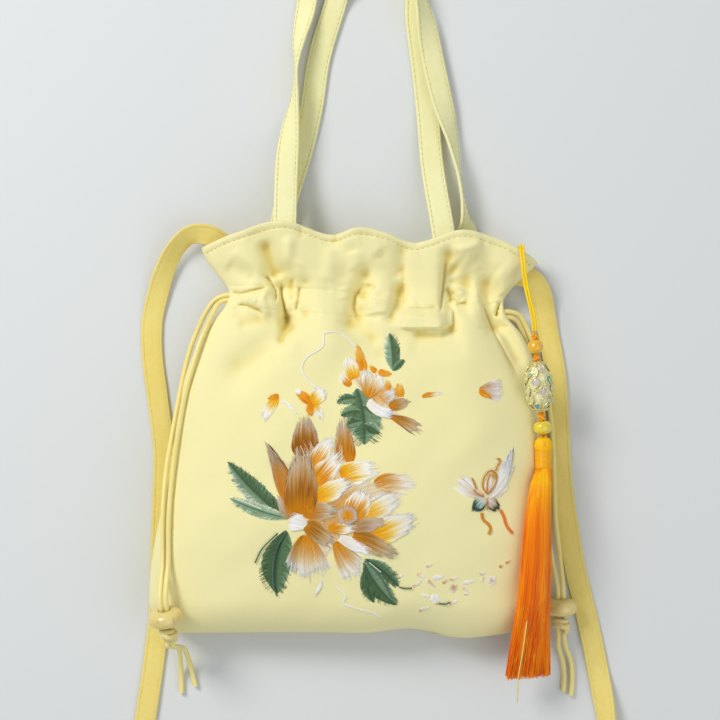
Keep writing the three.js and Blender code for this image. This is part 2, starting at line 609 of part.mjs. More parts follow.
// Handles, each sewn inside the rim of its own panel.
function handle({ middle, span, rise, path, height, side, rimLine, room }) {
  const beyond = ({ across, up, lift, turn }) => ({
    x: middle + (across * span) / 2,
    y: rimReferenceY + up * rise,
    lift: lift * handleWidth,
    turn,
  });
  const sewn = (x, reach) => {
    const y = rimLine(acrossAt(x, rimReferenceY)) - reach * handleSeam;
    return { x, y, lift: againstPanel(x, y, height, side, room), turn: 0 };
  };
  const reaches = [1, 0.7, 0.35, 0.05];
  const left = middle - span / 2;
  const right = middle + span / 2;
  const stops = [
    ...reaches.map((reach) => sewn(left, reach)),
    ...path.map(beyond),
    ...reaches.toReversed().map((reach) => sewn(right, reach)),
  ];
  return band(stops, handleWidth, handleThickness, 3);
}

add(
  "handle_front",
  handle({
    middle: frontHandleMiddle,
    span: frontHandleSpan,
    rise: frontHandleRise,
    path: frontHandlePath,
    height: frontZ,
    side: 1,
    rimLine: rimY,
    room: frontGatherRoom,
  }),
  looks.band,
);
add(
  "handle_rear",
  handle({
    middle: rearHandleMiddle,
    span: rearHandleSpan,
    rise: rearHandleRise,
    path: rearHandlePath,
    height: backZ,
    side: -1,
    rimLine: backRimY,
    room: rearGatherRoom,
  }),
  looks.band,
);

// Shoulder strap, from one corner of the rim round to the other.
const strapStops = strapPath.map(({ across, up, lift, turn }) => ({
  x: (across * (up < 0 ? strapSpread : bodyWidth)) / 2,
  y: baseY + up * (up < 0 ? strapDrop : bodyHeight),
  lift: lift * seamHeight,
  turn,
}));
add("shoulder_strap", band(strapStops, strapWidth, strapThickness, 3), looks.band);

// Height of a piece's axis where its section rests on the front panel. tilt: degrees that
// the section's right side hangs down.
function restingZ(x, y, halfWide, halfDeep, tilt = 0) {
  let z = 0;
  for (let i = 0; i < 24; i++) {
    const angle = (2 * PI * i) / 24;
    const [a, b] = [halfWide * cos(angle), halfDeep * sin(angle)];
    const dx = a * cos(radians(tilt)) + b * sin(radians(tilt));
    const dz = b * cos(radians(tilt)) - a * sin(radians(tilt));
    if (abs(acrossAt(x + dx, y)) < 1) z = max(z, frontZ(x + dx, y) - dz);
  }
  return z + fit;
}

// A turned piece whose axis runs the way that it is pointed, from +Y in its own frame.
function pointed(mesh, at, direction) {
  mesh.position.copy(at);
  mesh.quaternion.setFromUnitVectors(new THREE.Vector3(0, 1, 0), direction.clone().normalize());
  return mesh;
}

// Drawstrings. Each pair comes out of its channel, runs to a wooden bead and through it to
// a knot, and ends loose below the knot.
const knotOutline = [
  [knotWidth * 0.3, -knotLength / 2],
  [knotWidth * 0.46, -knotLength * 0.3],
  [knotWidth * 0.5, 0],
  [knotWidth * 0.45, knotLength * 0.3],
  [knotWidth * 0.3, knotLength / 2],
];

function drawstringPair({ name, outward, toggleAt, direction, routes, ends }) {
  const way = new THREE.Vector3(...direction).normalize();
  const toggle = boredBead(ovalProfile(toggleDiameter, toggleLength, toggleBore, 7, 2.6), toggleBore, 18);
  pointed(add(`bead_${name}`, toggle, looks.wood), toggleAt, way.clone().negate());
  const knotAt = toggleAt.clone().addScaledVector(way, toggleLength / 2 + knotLength / 2 + 2 * fit);
  const knot = new THREE.LatheGeometry(
    [[0, -knotLength / 2], ...knotOutline, [0, knotLength / 2]].map(([r, y]) => new THREE.Vector2(r, y)),
    12,
  );
  pointed(add(`knot_${name}`, knot, looks.cord), knotAt, way.clone().negate());
  const beside = new THREE.Vector3(-way.y, way.x, 0).normalize();
  for (const [letter, hand] of [["a", outward], ["b", -outward]]) {
    const offset = beside.clone().multiplyScalar((hand * cordPitch) / 2);
    const upTo = (d) => toggleAt.clone().addScaledVector(way, d).add(offset);
    const knotTop = toggleLength / 2 + fit;
    const knotEnd = knotTop + knotLength + 2 * fit + fit;
    const run = [...routes[letter].map(spot), upTo(-toggleLength), upTo(knotTop)];
    add(`drawstring_${name}_${letter}`, cord(run, cordDiameter), looks.cord);
    const tail = [upTo(knotEnd), upTo(knotEnd + 2), ...ends[letter].map(spot)];
    add(`cord_end_${name}_${letter}`, cord(tail, cordDiameter), looks.cord);
  }
}

// Places beside the pouch, as shares of half bodyWidth, of bodyHeight and of bodyDepth.
const spot = ([across, up, deep = 0]) => new THREE.Vector3(across * halfWidth, up * bodyHeight, deep * bodyDepth);
const leftToggle = spot([-0.894, -0.447]);
const rightToggle = spot([1.096, -0.439]);
leftToggle.z = restingZ(leftToggle.x, leftToggle.y + 3, toggleDiameter / 2, toggleDiameter / 2);
rightToggle.z = toggleDiameter / 2 + fit;

drawstringPair({
  name: "left",
  outward: -1,
  toggleAt: leftToggle,
  direction: [0.12, -0.95, -0.28],
  routes: {
    a: [
      [-0.555, 0.338, 0.213], [-0.609, 0.337, 0.211], [-0.664, 0.327, 0.196], [-0.715, 0.296, 0.174],
      [-0.755, 0.257, 0.141], [-0.796, 0.208, 0.13], [-0.827, 0.15, 0.152], [-0.856, 0.075, 0.207],
      [-0.882, -0.004, 0.293], [-0.904, -0.08, 0.413], [-0.915, -0.159, 0.535], [-0.918, -0.23, 0.609],
      [-0.915, -0.319, 0.663],
    ],
    b: [
      [-0.555, 0.324, 0.213], [-0.609, 0.324, 0.215], [-0.647, 0.317, 0.237], [-0.676, 0.292, 0.291],
      [-0.711, 0.25, 0.404], [-0.733, 0.223, 0.452], [-0.769, 0.164, 0.507], [-0.806, 0.097, 0.541],
      [-0.835, 0.022, 0.543], [-0.859, -0.053, 0.561], [-0.875, -0.133, 0.617], [-0.885, -0.221, 0.683],
      [-0.885, -0.319, 0.709],
    ],
  },
  ends: {
    a: [
      [-0.851, -0.538, 0.348], [-0.849, -0.575, 0.152], [-0.849, -0.615, 0.052], [-0.848, -0.659, 0.039],
    ],
    b: [
      [-0.822, -0.538, 0.348], [-0.805, -0.575, 0.141], [-0.791, -0.611, 0.052], [-0.776, -0.642, 0.039],
    ],
  },
});
drawstringPair({
  name: "right",
  outward: 1,
  toggleAt: rightToggle,
  direction: [0.02, -0.99, -0.06],
  routes: {
    a: [
      [0.773, 0.295, 0.224], [0.836, 0.295, 0.222], [0.885, 0.287, 0.196], [0.922, 0.259, 0.15],
      [0.956, 0.219, 0.117], [0.987, 0.168, 0.093], [1.022, 0.106, 0.085], [1.051, 0.035, 0.085],
      [1.064, -0.044, 0.085], [1.069, -0.133, 0.085], [1.076, -0.221, 0.087], [1.096, -0.319, 0.13],
    ],
    b: [
      [0.773, 0.281, 0.224], [0.836, 0.281, 0.222], [0.875, 0.272, 0.183], [0.904, 0.248, 0.117],
      [0.931, 0.221, 0.072], [0.955, 0.186, 0.048], [0.991, 0.106, 0.041], [1.016, 0.035, 0.041],
      [1.024, -0.044, 0.041], [1.024, -0.142, 0.041], [1.029, -0.23, 0.057], [1.058, -0.327, 0.13],
    ],
  },
  ends: {
    a: [
      [1.124, -0.538, 0.139], [1.156, -0.58, 0.065], [1.164, -0.624, 0.039], [1.158, -0.666, 0.039],
    ],
    b: [
      [1.089, -0.54, 0.13], [1.115, -0.58, 0.057], [1.122, -0.619, 0.039], [1.118, -0.655, 0.039],
    ],
  },
});

// Charm, on one line from its top knot to its tassel.
const charmTop = spot([0.943, 0.241]);
const charmFoot = charmTop.clone().add(new THREE.Vector3(charmLean, -charmDrop, 0));
const filigreeShare = 0.51;
const filigreeSpot = charmTop.clone().lerp(charmFoot, filigreeShare);
charmFoot.z = restingZ(charmFoot.x, charmFoot.y, tasselHeadDiameter / 2, tasselHeadDiameter / 2) + 2 * fit;
filigreeSpot.z = restingZ(filigreeSpot.x, filigreeSpot.y, filigreeDiameter / 2, filigreeDiameter / 2) + fit;
charmTop.z = charmFoot.z + (filigreeSpot.z - charmFoot.z) / (1 - filigreeShare);
const charmLength = charmTop.distanceTo(charmFoot);
const charmWay = charmFoot.clone().sub(charmTop).normalize();
const onCharm = (share) => charmTop.clone().lerp(charmFoot, share);

// Places along the thread, as shares of its length. The knots hold the beads apart.
const upperBeadShare = 0.13;
const upperKnotShare = 0.235;
const lowerKnotShare = 0.79;
const lowerBeadShare = 0.9;

const bead = (diameter, length, squareness) =>
  boredBead(ovalProfile(diameter, length, charmBore, 7, squareness), charmBore, 14);
const up = charmWay.clone().negate();
pointed(add("charm_bead_top", bead(upperBeadDiameter, upperBeadDiameter * 0.92, 2), looks.amber), onCharm(upperBeadShare), up);
pointed(add("charm_bead_low", bead(lowerBeadDiameter, lowerBeadLength, 2.5), looks.amber), onCharm(lowerBeadShare), up);

const threadProfile = [[0, 0], [threadDiameter / 2, 0]];
for (const [share, reach] of [[0.032, 1.5], [upperKnotShare, 1.8], [lowerKnotShare, 1.8]]) {
  for (const [step, swell] of [[-1, 0], [-0.6, 0.75], [0, 1], [0.6, 0.75], [1, 0]]) {
    const r = mix(threadDiameter / 2, threadKnotDiameter / 2, swell);
    threadProfile.push([r, charmLength * share + step * reach]);
  }
}
threadProfile.push([threadDiameter / 2, charmLength - 0.4], [0, charmLength - 0.4]);
const thread = new THREE.LatheGeometry(threadProfile.map(([r, y]) => new THREE.Vector2(r, y)), 8);
pointed(add("charm_thread", thread, looks.yellowCord), charmTop, charmWay);

// A hollow oval bead of open work: rings joined by ribs, with the gaps cut through.
function openWork() {
  const rings = 2 * filigreeRows + 1;
  const ribs = 2 * filigreeColumns;
  const point = (ring, i, inset) => {
    const angle = mix(-0.88, 0.88, ring / rings) * (PI / 2);
    const r = (filigreeDiameter / 2 - inset) * cos(angle);
    const turn = ((i + (ring % 4 < 2 ? 0 : 0.5)) * 2 * PI) / ribs;
    return new THREE.Vector3(r * cos(turn), ((filigreeLength / 2 - inset) * sin(angle)) / sin(0.44 * PI), r * sin(turn));
  };
  const points = [];
  for (const inset of [0, filigreeWall]) {
    for (let ring = 0; ring <= rings; ring++) {
      for (let i = 0; i < ribs; i++) points.push(point(ring, i, inset));
    }
  }
  const inner = (rings + 1) * ribs;
  const corner = (ring, i) => ring * ribs + ((i + ribs) % ribs);
  const open = (ring, i) => ring > 0 && ring < rings && ring % 2 === 1 && (i + ribs) % 2 === 0;
  const faces = [];
  const quad = (a, b, c, d) => faces.push([a, b, c], [a, c, d]);
  for (let ring = 0; ring < rings; ring++) {
    for (let i = 0; i < ribs; i++) {
      const [a, b, c, d] = [corner(ring, i), corner(ring, i + 1), corner(ring + 1, i + 1), corner(ring + 1, i)];
      if (!open(ring, i)) {
        quad(a, b, c, d);
        quad(d + inner, c + inner, b + inner, a + inner);
        continue;
      }
      for (const [p, q] of [[a, b], [b, c], [c, d], [d, a]]) quad(p, q, q + inner, p + inner);
    }
  }
  for (let i = 0; i < ribs; i++) {
    const [a, b] = [corner(0, i), corner(0, i + 1)];
    quad(b, a, a + inner, b + inner);
    const [c, d] = [corner(rings, i), corner(rings, i + 1)];
    quad(c, d, d + inner, c + inner);
  }
  return solid(points, faces);
}
pointed(add("filigree_bead", openWork(), looks.gilt), onCharm(filigreeShare), up);

// Two strands that hang the charm from inside the rim.
const hookX = 0.886 * halfWidth;
const hookY = rimY(acrossAt(hookX, rimReferenceY - 12));
const hookZ = frontZ(hookX, hookY - 2);
for (const [letter, hand] of [["a", 1], ["b", -1]]) {
  const aside = (hand * (charmCordDiameter + fit)) / 2;
  const r = charmCordDiameter / 2;
  const route = [
    [hookX + aside - 3, hookY - 9, hookZ - wall - 5],
    [hookX + aside - 1, hookY - 3, hookZ - wall - 3],
    [hookX + aside, hookY + 1.8 + r, hookZ - wall / 2],
    [hookX + aside + 0.3, hookY - 3, hookZ + r + 2.7],
    [hookX + aside + 2, hookY - 20, mix(hookZ, charmTop.z, 0.5) + 1.4],
    [charmTop.x + aside - 0.5, charmTop.y + 8, charmTop.z + 0.4],
    [charmTop.x + aside, charmTop.y + 1, charmTop.z],
  ].map((p) => new THREE.Vector3(...p));
  add(`charm_cord_${letter}`, cord(route, charmCordDiameter, 6), looks.yellowCord);
}

// Tassel: a domed and wrapped head, fused to a skirt of silk in locks.
function tassel() {
  const rings = [];
  const count = 3 * tasselLocks;
  const headTop = charmFoot.clone();
  const ring = (centre, halfWide, halfDeep, tilt, lock, ragged) =>
    Array.from({ length: count }, (_, i) => {
      const angle = (2 * PI * i) / count;
      const swell = 1 + lock * cos(angle * tasselLocks);
      const [a, b] = [halfWide * cos(angle) * swell, halfDeep * sin(angle) * swell];
      const [c, s] = [cos(radians(tilt)), sin(radians(tilt))];
      return centre.clone().add(new THREE.Vector3(a * c + b * s, ragged * sin(i * 2.4), b * c - a * s));
    });
  const headRadius = tasselHeadDiameter / 2;
  for (const [down, wide] of [[0, 0.3], [0.06, 0.66], [0.18, 0.93], [0.33, 1], [0.36, 0.93], [0.97, 0.93]]) {
    const centre = headTop.clone().add(new THREE.Vector3(0, -down * tasselHeadLength, 0));
    rings.push(ring(centre, headRadius * wide, headRadius * wide, 0, 0, 0));
  }
  const headEnd = headTop.y - tasselHeadLength;
  for (let k = 0; k <= 12; k++) {
    const down = k / 12;
    const column = (name) => read(skirtPath, "down", name, down);
    const x = headTop.x + tasselSkirtWidth * column("drift");
    const y = headEnd - tasselSkirtLength * down;
    const halfWide = (tasselSkirtWidth * column("wide")) / 2;
    const halfDeep = (tasselSkirtDepth * column("deep")) / 2;
    const tilt = column("tilt");
    const over = max(0, baseSeamY(0.93) + cornerRadius * 0.7 - y);
    const z = restingZ(x, max(y, baseSeamY(0.93) + cornerRadius * 0.7), halfWide * 1.12, halfDeep * 1.2, tilt);
    const lock = 0.05 * min(1, down * 3);
    rings.push(ring(new THREE.Vector3(x, y, z - over * 0.3), halfWide, halfDeep, tilt, lock, k === 12 ? 1 : 0));
  }
  return loft(rings);
}
add("tassel", tassel(), looks.silk);

export default purse;
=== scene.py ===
# A pale yellow drawstring pouch bag of embroidered cloth, lying on its back on a plain floor.
import math
import random

import bmesh
import bpy
import numpy as np
from mathutils import Matrix, Vector


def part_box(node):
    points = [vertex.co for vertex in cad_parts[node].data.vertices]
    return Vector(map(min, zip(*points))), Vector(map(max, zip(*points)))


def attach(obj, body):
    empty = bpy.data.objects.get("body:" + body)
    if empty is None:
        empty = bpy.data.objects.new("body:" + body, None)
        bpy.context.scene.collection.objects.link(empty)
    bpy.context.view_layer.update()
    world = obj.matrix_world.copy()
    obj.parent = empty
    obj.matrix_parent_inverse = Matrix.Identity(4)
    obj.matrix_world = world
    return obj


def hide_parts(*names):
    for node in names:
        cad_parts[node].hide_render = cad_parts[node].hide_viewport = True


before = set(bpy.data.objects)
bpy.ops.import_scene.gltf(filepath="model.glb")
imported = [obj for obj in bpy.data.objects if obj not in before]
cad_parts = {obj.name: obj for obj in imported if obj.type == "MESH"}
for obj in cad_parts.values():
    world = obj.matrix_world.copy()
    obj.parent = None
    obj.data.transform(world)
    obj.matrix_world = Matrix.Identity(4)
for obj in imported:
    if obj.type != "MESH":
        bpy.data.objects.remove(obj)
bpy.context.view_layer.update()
scene = bpy.context.scene

# Camera, floor and light.
cameraSet = {"lens": 85, "sensor": 36, "x": 0.0078, "y": 0.0396, "height": 0.965}
cameraData = bpy.data.cameras.new("camera")
cameraData.lens = cameraSet["lens"]
cameraData.sensor_width = cameraSet["sensor"]
camera = bpy.data.objects.new("camera", cameraData)
camera.location = (cameraSet["x"], cameraSet["y"], cameraSet["height"])
scene.collection.objects.link(camera)
scene.camera = camera
print("camera made")


# A socket in shader maths, so that 1 - mask and mask * 0.5 add their Math nodes.
class Wire:
    def __init__(self, look, socket):
        self.look = look
        self.socket = socket

    def maths(self, operation, *values):
        return self.look.node("ShaderNodeMath", {"operation": operation}, dict(enumerate(values)))

    def __add__(self, other):
        return self.maths("ADD", self, other)

    __radd__ = __add__

    def __sub__(self, other):
        return self.maths("SUBTRACT", self, other)

    def __rsub__(self, other):
        return self.maths("SUBTRACT", other, self)

    def __mul__(self, other):
        return self.maths("MULTIPLY", self, other)

    __rmul__ = __mul__

    def __truediv__(self, other):
        return self.maths("DIVIDE", self, other)

    def sine(self):
        return self.maths("SINE", self)

    def clamped(self, low=0.0, high=1.0):
        return self.maths("MAXIMUM", self.maths("MINIMUM", self, high), low)

    def part(self, name):
        split = self.look.node("ShaderNodeSeparateXYZ", {}, {0: self})
        return Wire(self.look, split.socket.node.outputs[name])


# One material and its nodes. What is the same all over is set on the shader itself.
class Look:
    def __init__(self, name, **constants):
        self.material = bpy.data.materials.new(name)
        self.material.use_nodes = True
        self.nodes = self.material.node_tree.nodes
        self.links = self.material.node_tree.links
        self.shader = self.nodes["Principled BSDF"]
        for key, value in constants.items():
            self.shader.inputs[key.replace("_", " ")].default_value = value

    def node(self, kind, settings=None, inputs=None, output=0):
        made = self.nodes.new(kind)
        for key, value in (settings or {}).items():
            if key == "stops":
                while len(made.color_ramp.elements) < len(value):
                    made.color_ramp.elements.new(0.5)
                for stop, (place, colour) in zip(made.color_ramp.elements, value):
                    stop.position = place
                    stop.color = (*colour, 1.0)
            else:
                setattr(made, key, value)
        for key, value in (inputs or {}).items():
            if isinstance(value, Wire):
                self.links.new(value.socket, made.inputs[key])
            else:
                made.inputs[key].default_value = value
        return Wire(self, made.outputs[output])

    def place(self):
        return self.node("ShaderNodeTexCoord", output="Object")

    def noise(self, at, scale, detail=2.0, roughness=0.5):
        inputs = {"Vector": at, "Scale": scale, "Detail": detail, "Roughness": roughness}
        return self.node("ShaderNodeTexNoise", {}, inputs)

    def blend(self, amount, first, second, kind="MIX"):
        settings = {"data_type": "RGBA", "blend_type": kind}
        inputs = {0: amount, 6: self.tint(first), 7: self.tint(second)}
        return self.node("ShaderNodeMix", settings, inputs, output=2)

    def tint(self, colour):
        return colour if isinstance(colour, Wire) else (*colour, 1.0)

    def stretch(self, at, scale):
        return self.node("ShaderNodeVectorMath", {"operation": "MULTIPLY"}, {0: at, 1: scale})

    def bump(self, height, distance, strength=1.0, under=None):
        inputs = {"Height": height, "Distance": distance, "Strength": strength}
        if under is not None:
            inputs["Normal"] = under
        return self.node("ShaderNodeBump", {}, inputs)

    def attribute(self, name):
        return self.node("ShaderNodeAttribute", {"attribute_name": name})

    def ramp(self, stops, at):
        stops = [(place, srgb(colour)) for place, colour in stops]
        return self.node("ShaderNodeValToRGB", {"stops": stops}, {0: at})

    def feed(self, name, wire):
        self.links.new(wire.socket, self.shader.inputs[name])


def srgb(text):
    parts = [int(text[i:i + 2], 16) / 255 for i in (0, 2, 4)]
    return tuple(p / 12.92 if p <= 0.04045 else ((p + 0.055) / 1.055) ** 2.4 for p in parts)


def twoTone(name, dark, light, scale, detail=2.0, stretch=(1, 1, 1), grain=None, **constants):
    # a finish that drifts between two colours; grain is the scale, depth and strength of its bump
    look = Look(name, **constants)
    at = look.place()
    tone = look.noise(look.stretch(at, stretch), scale, detail)
    look.feed("Base Color", look.blend(tone, srgb(dark), srgb(light)))
    if grain:
        look.feed("Normal", look.bump(look.noise(at, grain[0], 2), grain[1], grain[2]))
    return look


def weave(look, at, threads, distance, under=None):
    # plain weave: warp and weft threads, each so many to a metre
    x = (at.part("X") * (threads * math.pi)).sine()
    y = (at.part("Y") * (threads * math.pi)).sine()
    return look.bump(x * y, distance, 0.5, under)


floorSet = {"size": 6.0, "colour": "dcdedd", "roughness": 0.9}
floorLook = Look("floorPaper", Roughness=floorSet["roughness"])
floorLook.shader.inputs["Base Color"].default_value = (*srgb(floorSet["colour"]), 1)
floorMesh = bmesh.new()
bmesh.ops.create_grid(floorMesh, x_segments=2, y_segments=2, size=floorSet["size"] / 2)
floorData = bpy.data.meshes.new("floor")
floorMesh.to_mesh(floorData)
floorMesh.free()
floor = bpy.data.objects.new("floor", floorData)
floorData.materials.append(floorLook.material)
scene.collection.objects.link(floor)

lightSet = {
    "keyLight": {"place": (-0.95, 0.9, 1.15), "size": 0.6, "power": 18.5, "colour": (1.0, 0.99, 0.97)},
    "fillLight": {"place": (1.2, -0.8, 1.6), "size": 2.0, "power": 11.5, "colour": (0.93, 0.97, 1.0)},
    "room": {"colour": (0.93, 0.96, 1.0, 1), "strength": 0.46},
}


def areaLight(name, place, size, power, colour):
    data = bpy.data.lights.new(name, "AREA")
    data.size = size
    data.energy = power
    data.color = colour
    lamp = bpy.data.objects.new(name, data)
    lamp.location = place
    lamp.rotation_euler = (-Vector(place)).to_track_quat("-Z", "Y").to_euler()
    scene.collection.objects.link(lamp)


for name in ("keyLight", "fillLight"):
    areaLight(name, **lightSet[name])
world = bpy.data.worlds.new("room")
scene.world = world
world.use_nodes = True
roomLight = world.node_tree.nodes["Background"]
roomLight.inputs[0].default_value = lightSet["room"]["colour"]
roomLight.inputs[1].default_value = lightSet["room"]["strength"]
scene.view_settings.view_transform = "Standard"
print("floor and light made")


# What every piece is made with.
def keep(name, mesh, look, slot, *nodes):
    # a finished mesh becomes a piece that rides on the bag
    data = mesh
    if isinstance(mesh, bmesh.types.BMesh):
        data = bpy.data.meshes.new(name)
        mesh.to_mesh(data)
        mesh.free()
    piece = bpy.data.objects.new(name, data)
    scene.collection.objects.link(piece)
    for one in look if isinstance(look, (list, tuple)) else [look]:
        data.materials.append(one.material)
    if hasattr(data, "polygons"):
        data.shade_smooth()
    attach(piece, "root")
    if nodes:
        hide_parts(*nodes)
    return piece


def modifier(piece, kind, **settings):
    made = piece.modifiers.new(kind.lower(), kind)
    for key, value in settings.items():
        setattr(made, key, value)
    return made


def curveThrough(points, steps):
    # a smooth curve through points, with so many steps between each two
    p = np.array(points, float)
    q = np.vstack([2 * p[0] - p[1], p, 2 * p[-1] - p[-2]])
    line = []
    for i in range(len(p) - 1):
        a, b, c, d = q[i:i + 4]
        da, db, dc = (math.sqrt(np.linalg.norm(n - m)) for m, n in ((a, b), (b, c), (c, d)))
        out = ((b - a) / da - (c - a) / (da + db) + (c - b) / db) * db
        into = ((c - b) / db - (d - b) / (db + dc) + (d - c) / dc) * db
        for k in range(steps):
            t = k / steps
            line.append(b * (2 * t**3 - 3 * t**2 + 1) + out * (t**3 - 2 * t**2 + t)
                        + c * (3 * t**2 - 2 * t**3) + into * (t**3 - t**2))
    line.append(p[-1])
    return np.array(line)


def cording(name, lines, radius, sides, look, slot, *nodes, closed=False):
    # a piece of cord or thread, with one spline for each line in metres and its radius in
    # millimetres. The points carry the radius, which keeps the curve's own box true.
    data = bpy.data.curves.new(name, "CURVE")
    data.dimensions = "3D"
    data.bevel_depth = 1.0
    data.bevel_resolution = sides
    data.use_fill_caps = not closed
    for line in lines:
        spline = data.splines.new("POLY")
        spline.points.add(len(line) - 1)
        spline.points.foreach_set("co", np.hstack([line, np.ones((len(line), 1))]).ravel())
        spline.points.foreach_set("radius", [radius / 1000] * len(line))
        spline.use_cyclic_u = closed
        spline.use_smooth = True
    return keep(name, data, look, slot, *nodes)


def rows(names, *values):
    # a table with named columns
    return {name: np.array([row[i] for row in values], float) for i, name in enumerate(names.split())}


def read(table, key, column, at):
    # one column of a table, smoothly read between its rows
    keys, values = table[key], table[column]
    at = np.clip(np.asarray(at, float), keys[0], keys[-1])
    last = len(keys) - 1
    i = np.clip(np.searchsorted(keys, at, side="left") - 1, 0, last - 1)
    span = keys[i + 1] - keys[i]

    def slope(j):
        low, high = np.maximum(j - 1, 0), np.minimum(j + 1, last)
        return (values[high] - values[low]) / (keys[high] - keys[low]) * span

    t = (at - keys[i]) / span
    return (values[i] * (2 * t**3 - 3 * t**2 + 1) + slope(i) * (t**3 - 2 * t**2 + t)
            + values[i + 1] * (3 * t**2 - 2 * t**3) + slope(i + 1) * (t**3 - t**2))


def smooth(value, low, high):
    t = np.clip((value - low) / (high - low), 0, 1)
    return t * t * (3 - 2 * t)


# Drawstrings. Their routes are shares of half the pouch's width, its height and its depth.
pouch = {"width": 220, "height": 226, "depth": 46}
span = np.array([pouch["width"] / 2, pouch["height"], pouch["depth"]])  # millimetres
drawstring = {"diameter": 2.8, "pitch": 3.1, "beadLength": 10, "knotLength": 8.6, "fit": 0.3}
cordLook = Look("satinCord", Roughness=0.38, Sheen_Weight=0.3, Sheen_Roughness=0.4, Specular_IOR_Level=0.6)
cordAt = cordLook.place()
cordTone = cordLook.noise(cordAt, 45, 3)
cordLook.feed("Base Color", cordLook.blend(cordTone, srgb("ecd877"), srgb("f8eba0")))
cordBraid = cordLook.noise(cordLook.stretch(cordAt, (3.0, 0.35, 3.0)), 1400, 2)
cordLook.feed("Normal", cordLook.bump(cordBraid, 0.0002, 0.35))

pairs = {
    "left": {"way": (0.12, -0.95, -0.28), "outward": -1},
    "right": {"way": (0.02, -0.99, -0.06), "outward": 1},
}
cordRoutes = {  # from the channel to the bead, and from the knot to the cord's end
    "left_a": ([
        (-0.555, 0.338, 0.213), (-0.609, 0.337, 0.211), (-0.664, 0.327, 0.196), (-0.715, 0.296, 0.174),
        (-0.755, 0.257, 0.141), (-0.796, 0.208, 0.13), (-0.827, 0.15, 0.152), (-0.856, 0.075, 0.207),
        (-0.882, -0.004, 0.293), (-0.904, -0.08, 0.413), (-0.915, -0.159, 0.535), (-0.918, -0.23, 0.609),
        (-0.915, -0.319, 0.663),
    ], [
        (-0.851, -0.538, 0.348), (-0.849, -0.575, 0.152), (-0.849, -0.615, 0.052), (-0.848, -0.659, 0.039),
    ]),
    "left_b": ([
        (-0.555, 0.324, 0.213), (-0.609, 0.324, 0.215), (-0.647, 0.317, 0.237), (-0.676, 0.292, 0.291),
        (-0.711, 0.25, 0.404), (-0.733, 0.223, 0.452), (-0.769, 0.164, 0.507), (-0.806, 0.097, 0.541),
        (-0.835, 0.022, 0.543), (-0.859, -0.053, 0.561), (-0.875, -0.133, 0.617), (-0.885, -0.221, 0.683),
        (-0.885, -0.319, 0.709),
    ], [
        (-0.822, -0.538, 0.348), (-0.805, -0.575, 0.141), (-0.791, -0.611, 0.052), (-0.776, -0.642, 0.039),
    ]),
    "right_a": ([
        (0.773, 0.295, 0.224), (0.836, 0.295, 0.222), (0.885, 0.287, 0.196), (0.922, 0.259, 0.15),
        (0.956, 0.219, 0.117), (0.987, 0.168, 0.093), (1.022, 0.106, 0.085), (1.051, 0.035, 0.085),
        (1.064, -0.044, 0.085), (1.069, -0.133, 0.085), (1.076, -0.221, 0.087), (1.096, -0.319, 0.13),
    ], [
        (1.124, -0.538, 0.139), (1.156, -0.58, 0.065), (1.164, -0.624, 0.039), (1.158, -0.666, 0.039),
    ]),
    "right_b": ([
        (0.773, 0.281, 0.224), (0.836, 0.281, 0.222), (0.875, 0.272, 0.183), (0.904, 0.248, 0.117),
        (0.931, 0.221, 0.072), (0.955, 0.186, 0.048), (0.991, 0.106, 0.041), (1.016, 0.035, 0.041),
        (1.024, -0.044, 0.041), (1.024, -0.142, 0.041), (1.029, -0.23, 0.057), (1.058, -0.327, 0.13),
    ], [
        (1.089, -0.54, 0.13), (1.115, -0.58, 0.057), (1.122, -0.619, 0.039), (1.118, -0.655, 0.039),
    ]),
}


def lengthOf(line):
    return float(np.linalg.norm(np.diff(line, axis=0), axis=1).sum())


def middleOf(node):
    # the middle of a solid's box, in millimetres
    low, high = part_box(node)
    return np.array((low + high) / 2) * 1000


cords = {}
for side, pair in pairs.items():
    at = middleOf(f"bead_{side}")
    way = np.array(pair["way"]) / np.linalg.norm(pair["way"])
    beside = np.array([-way[1], way[0], 0])
    beside /= np.linalg.norm(beside)
    pair.update({"at": at, "along": way, "beside": beside})
    for letter, hand in (("a", pair["outward"]), ("b", -pair["outward"])):
        offset = beside * hand * drawstring["pitch"] / 2
        knotTop = drawstring["beadLength"] / 2 + drawstring["fit"]
        knotEnd = knotTop + drawstring["knotLength"] + 3 * drawstring["fit"]
        stations = [-drawstring["beadLength"], 0, knotTop, (knotTop + knotEnd) / 2, knotEnd, knotEnd + 2]
        through = [tuple(at + way * d + offset) for d in stations]
        before, after = cordRoutes[f"{side}_{letter}"]
        route = [*(np.array(before) * span), *through, *(np.array(after) * span)]
        line = curveThrough(route, 7) / 1000
        name = f"drawstring_{side}_{letter}_cord"
        piece = cording(name, [line], drawstring["diameter"] / 2, 4, cordLook, "cord",
                        f"drawstring_{side}_{letter}", f"cord_end_{side}_{letter}")
        cords[name] = {"piece": piece, "line": line}

# Charm cord: two strands from inside the rim, over it and down to the top knot.
charmSet = {
    "cord": 1.4, "pitch": 1.5, "topBead": 0.13, "openBead": 0.51, "lowBead": 0.9,  # places down the charm
    "bead": 8.8, "lowWide": 10, "lowLength": 7.6, "bore": 2.2, "openDiameter": 15.4, "openLength": 28.6,
}
topAt, lowAt = middleOf("charm_bead_top"), middleOf("charm_bead_low")
charmRun = (lowAt - topAt) / (charmSet["lowBead"] - charmSet["topBead"])
charmTop = topAt - charmSet["topBead"] * charmRun
charmFoot = charmTop + charmRun
charmWay = charmRun / np.linalg.norm(charmRun)

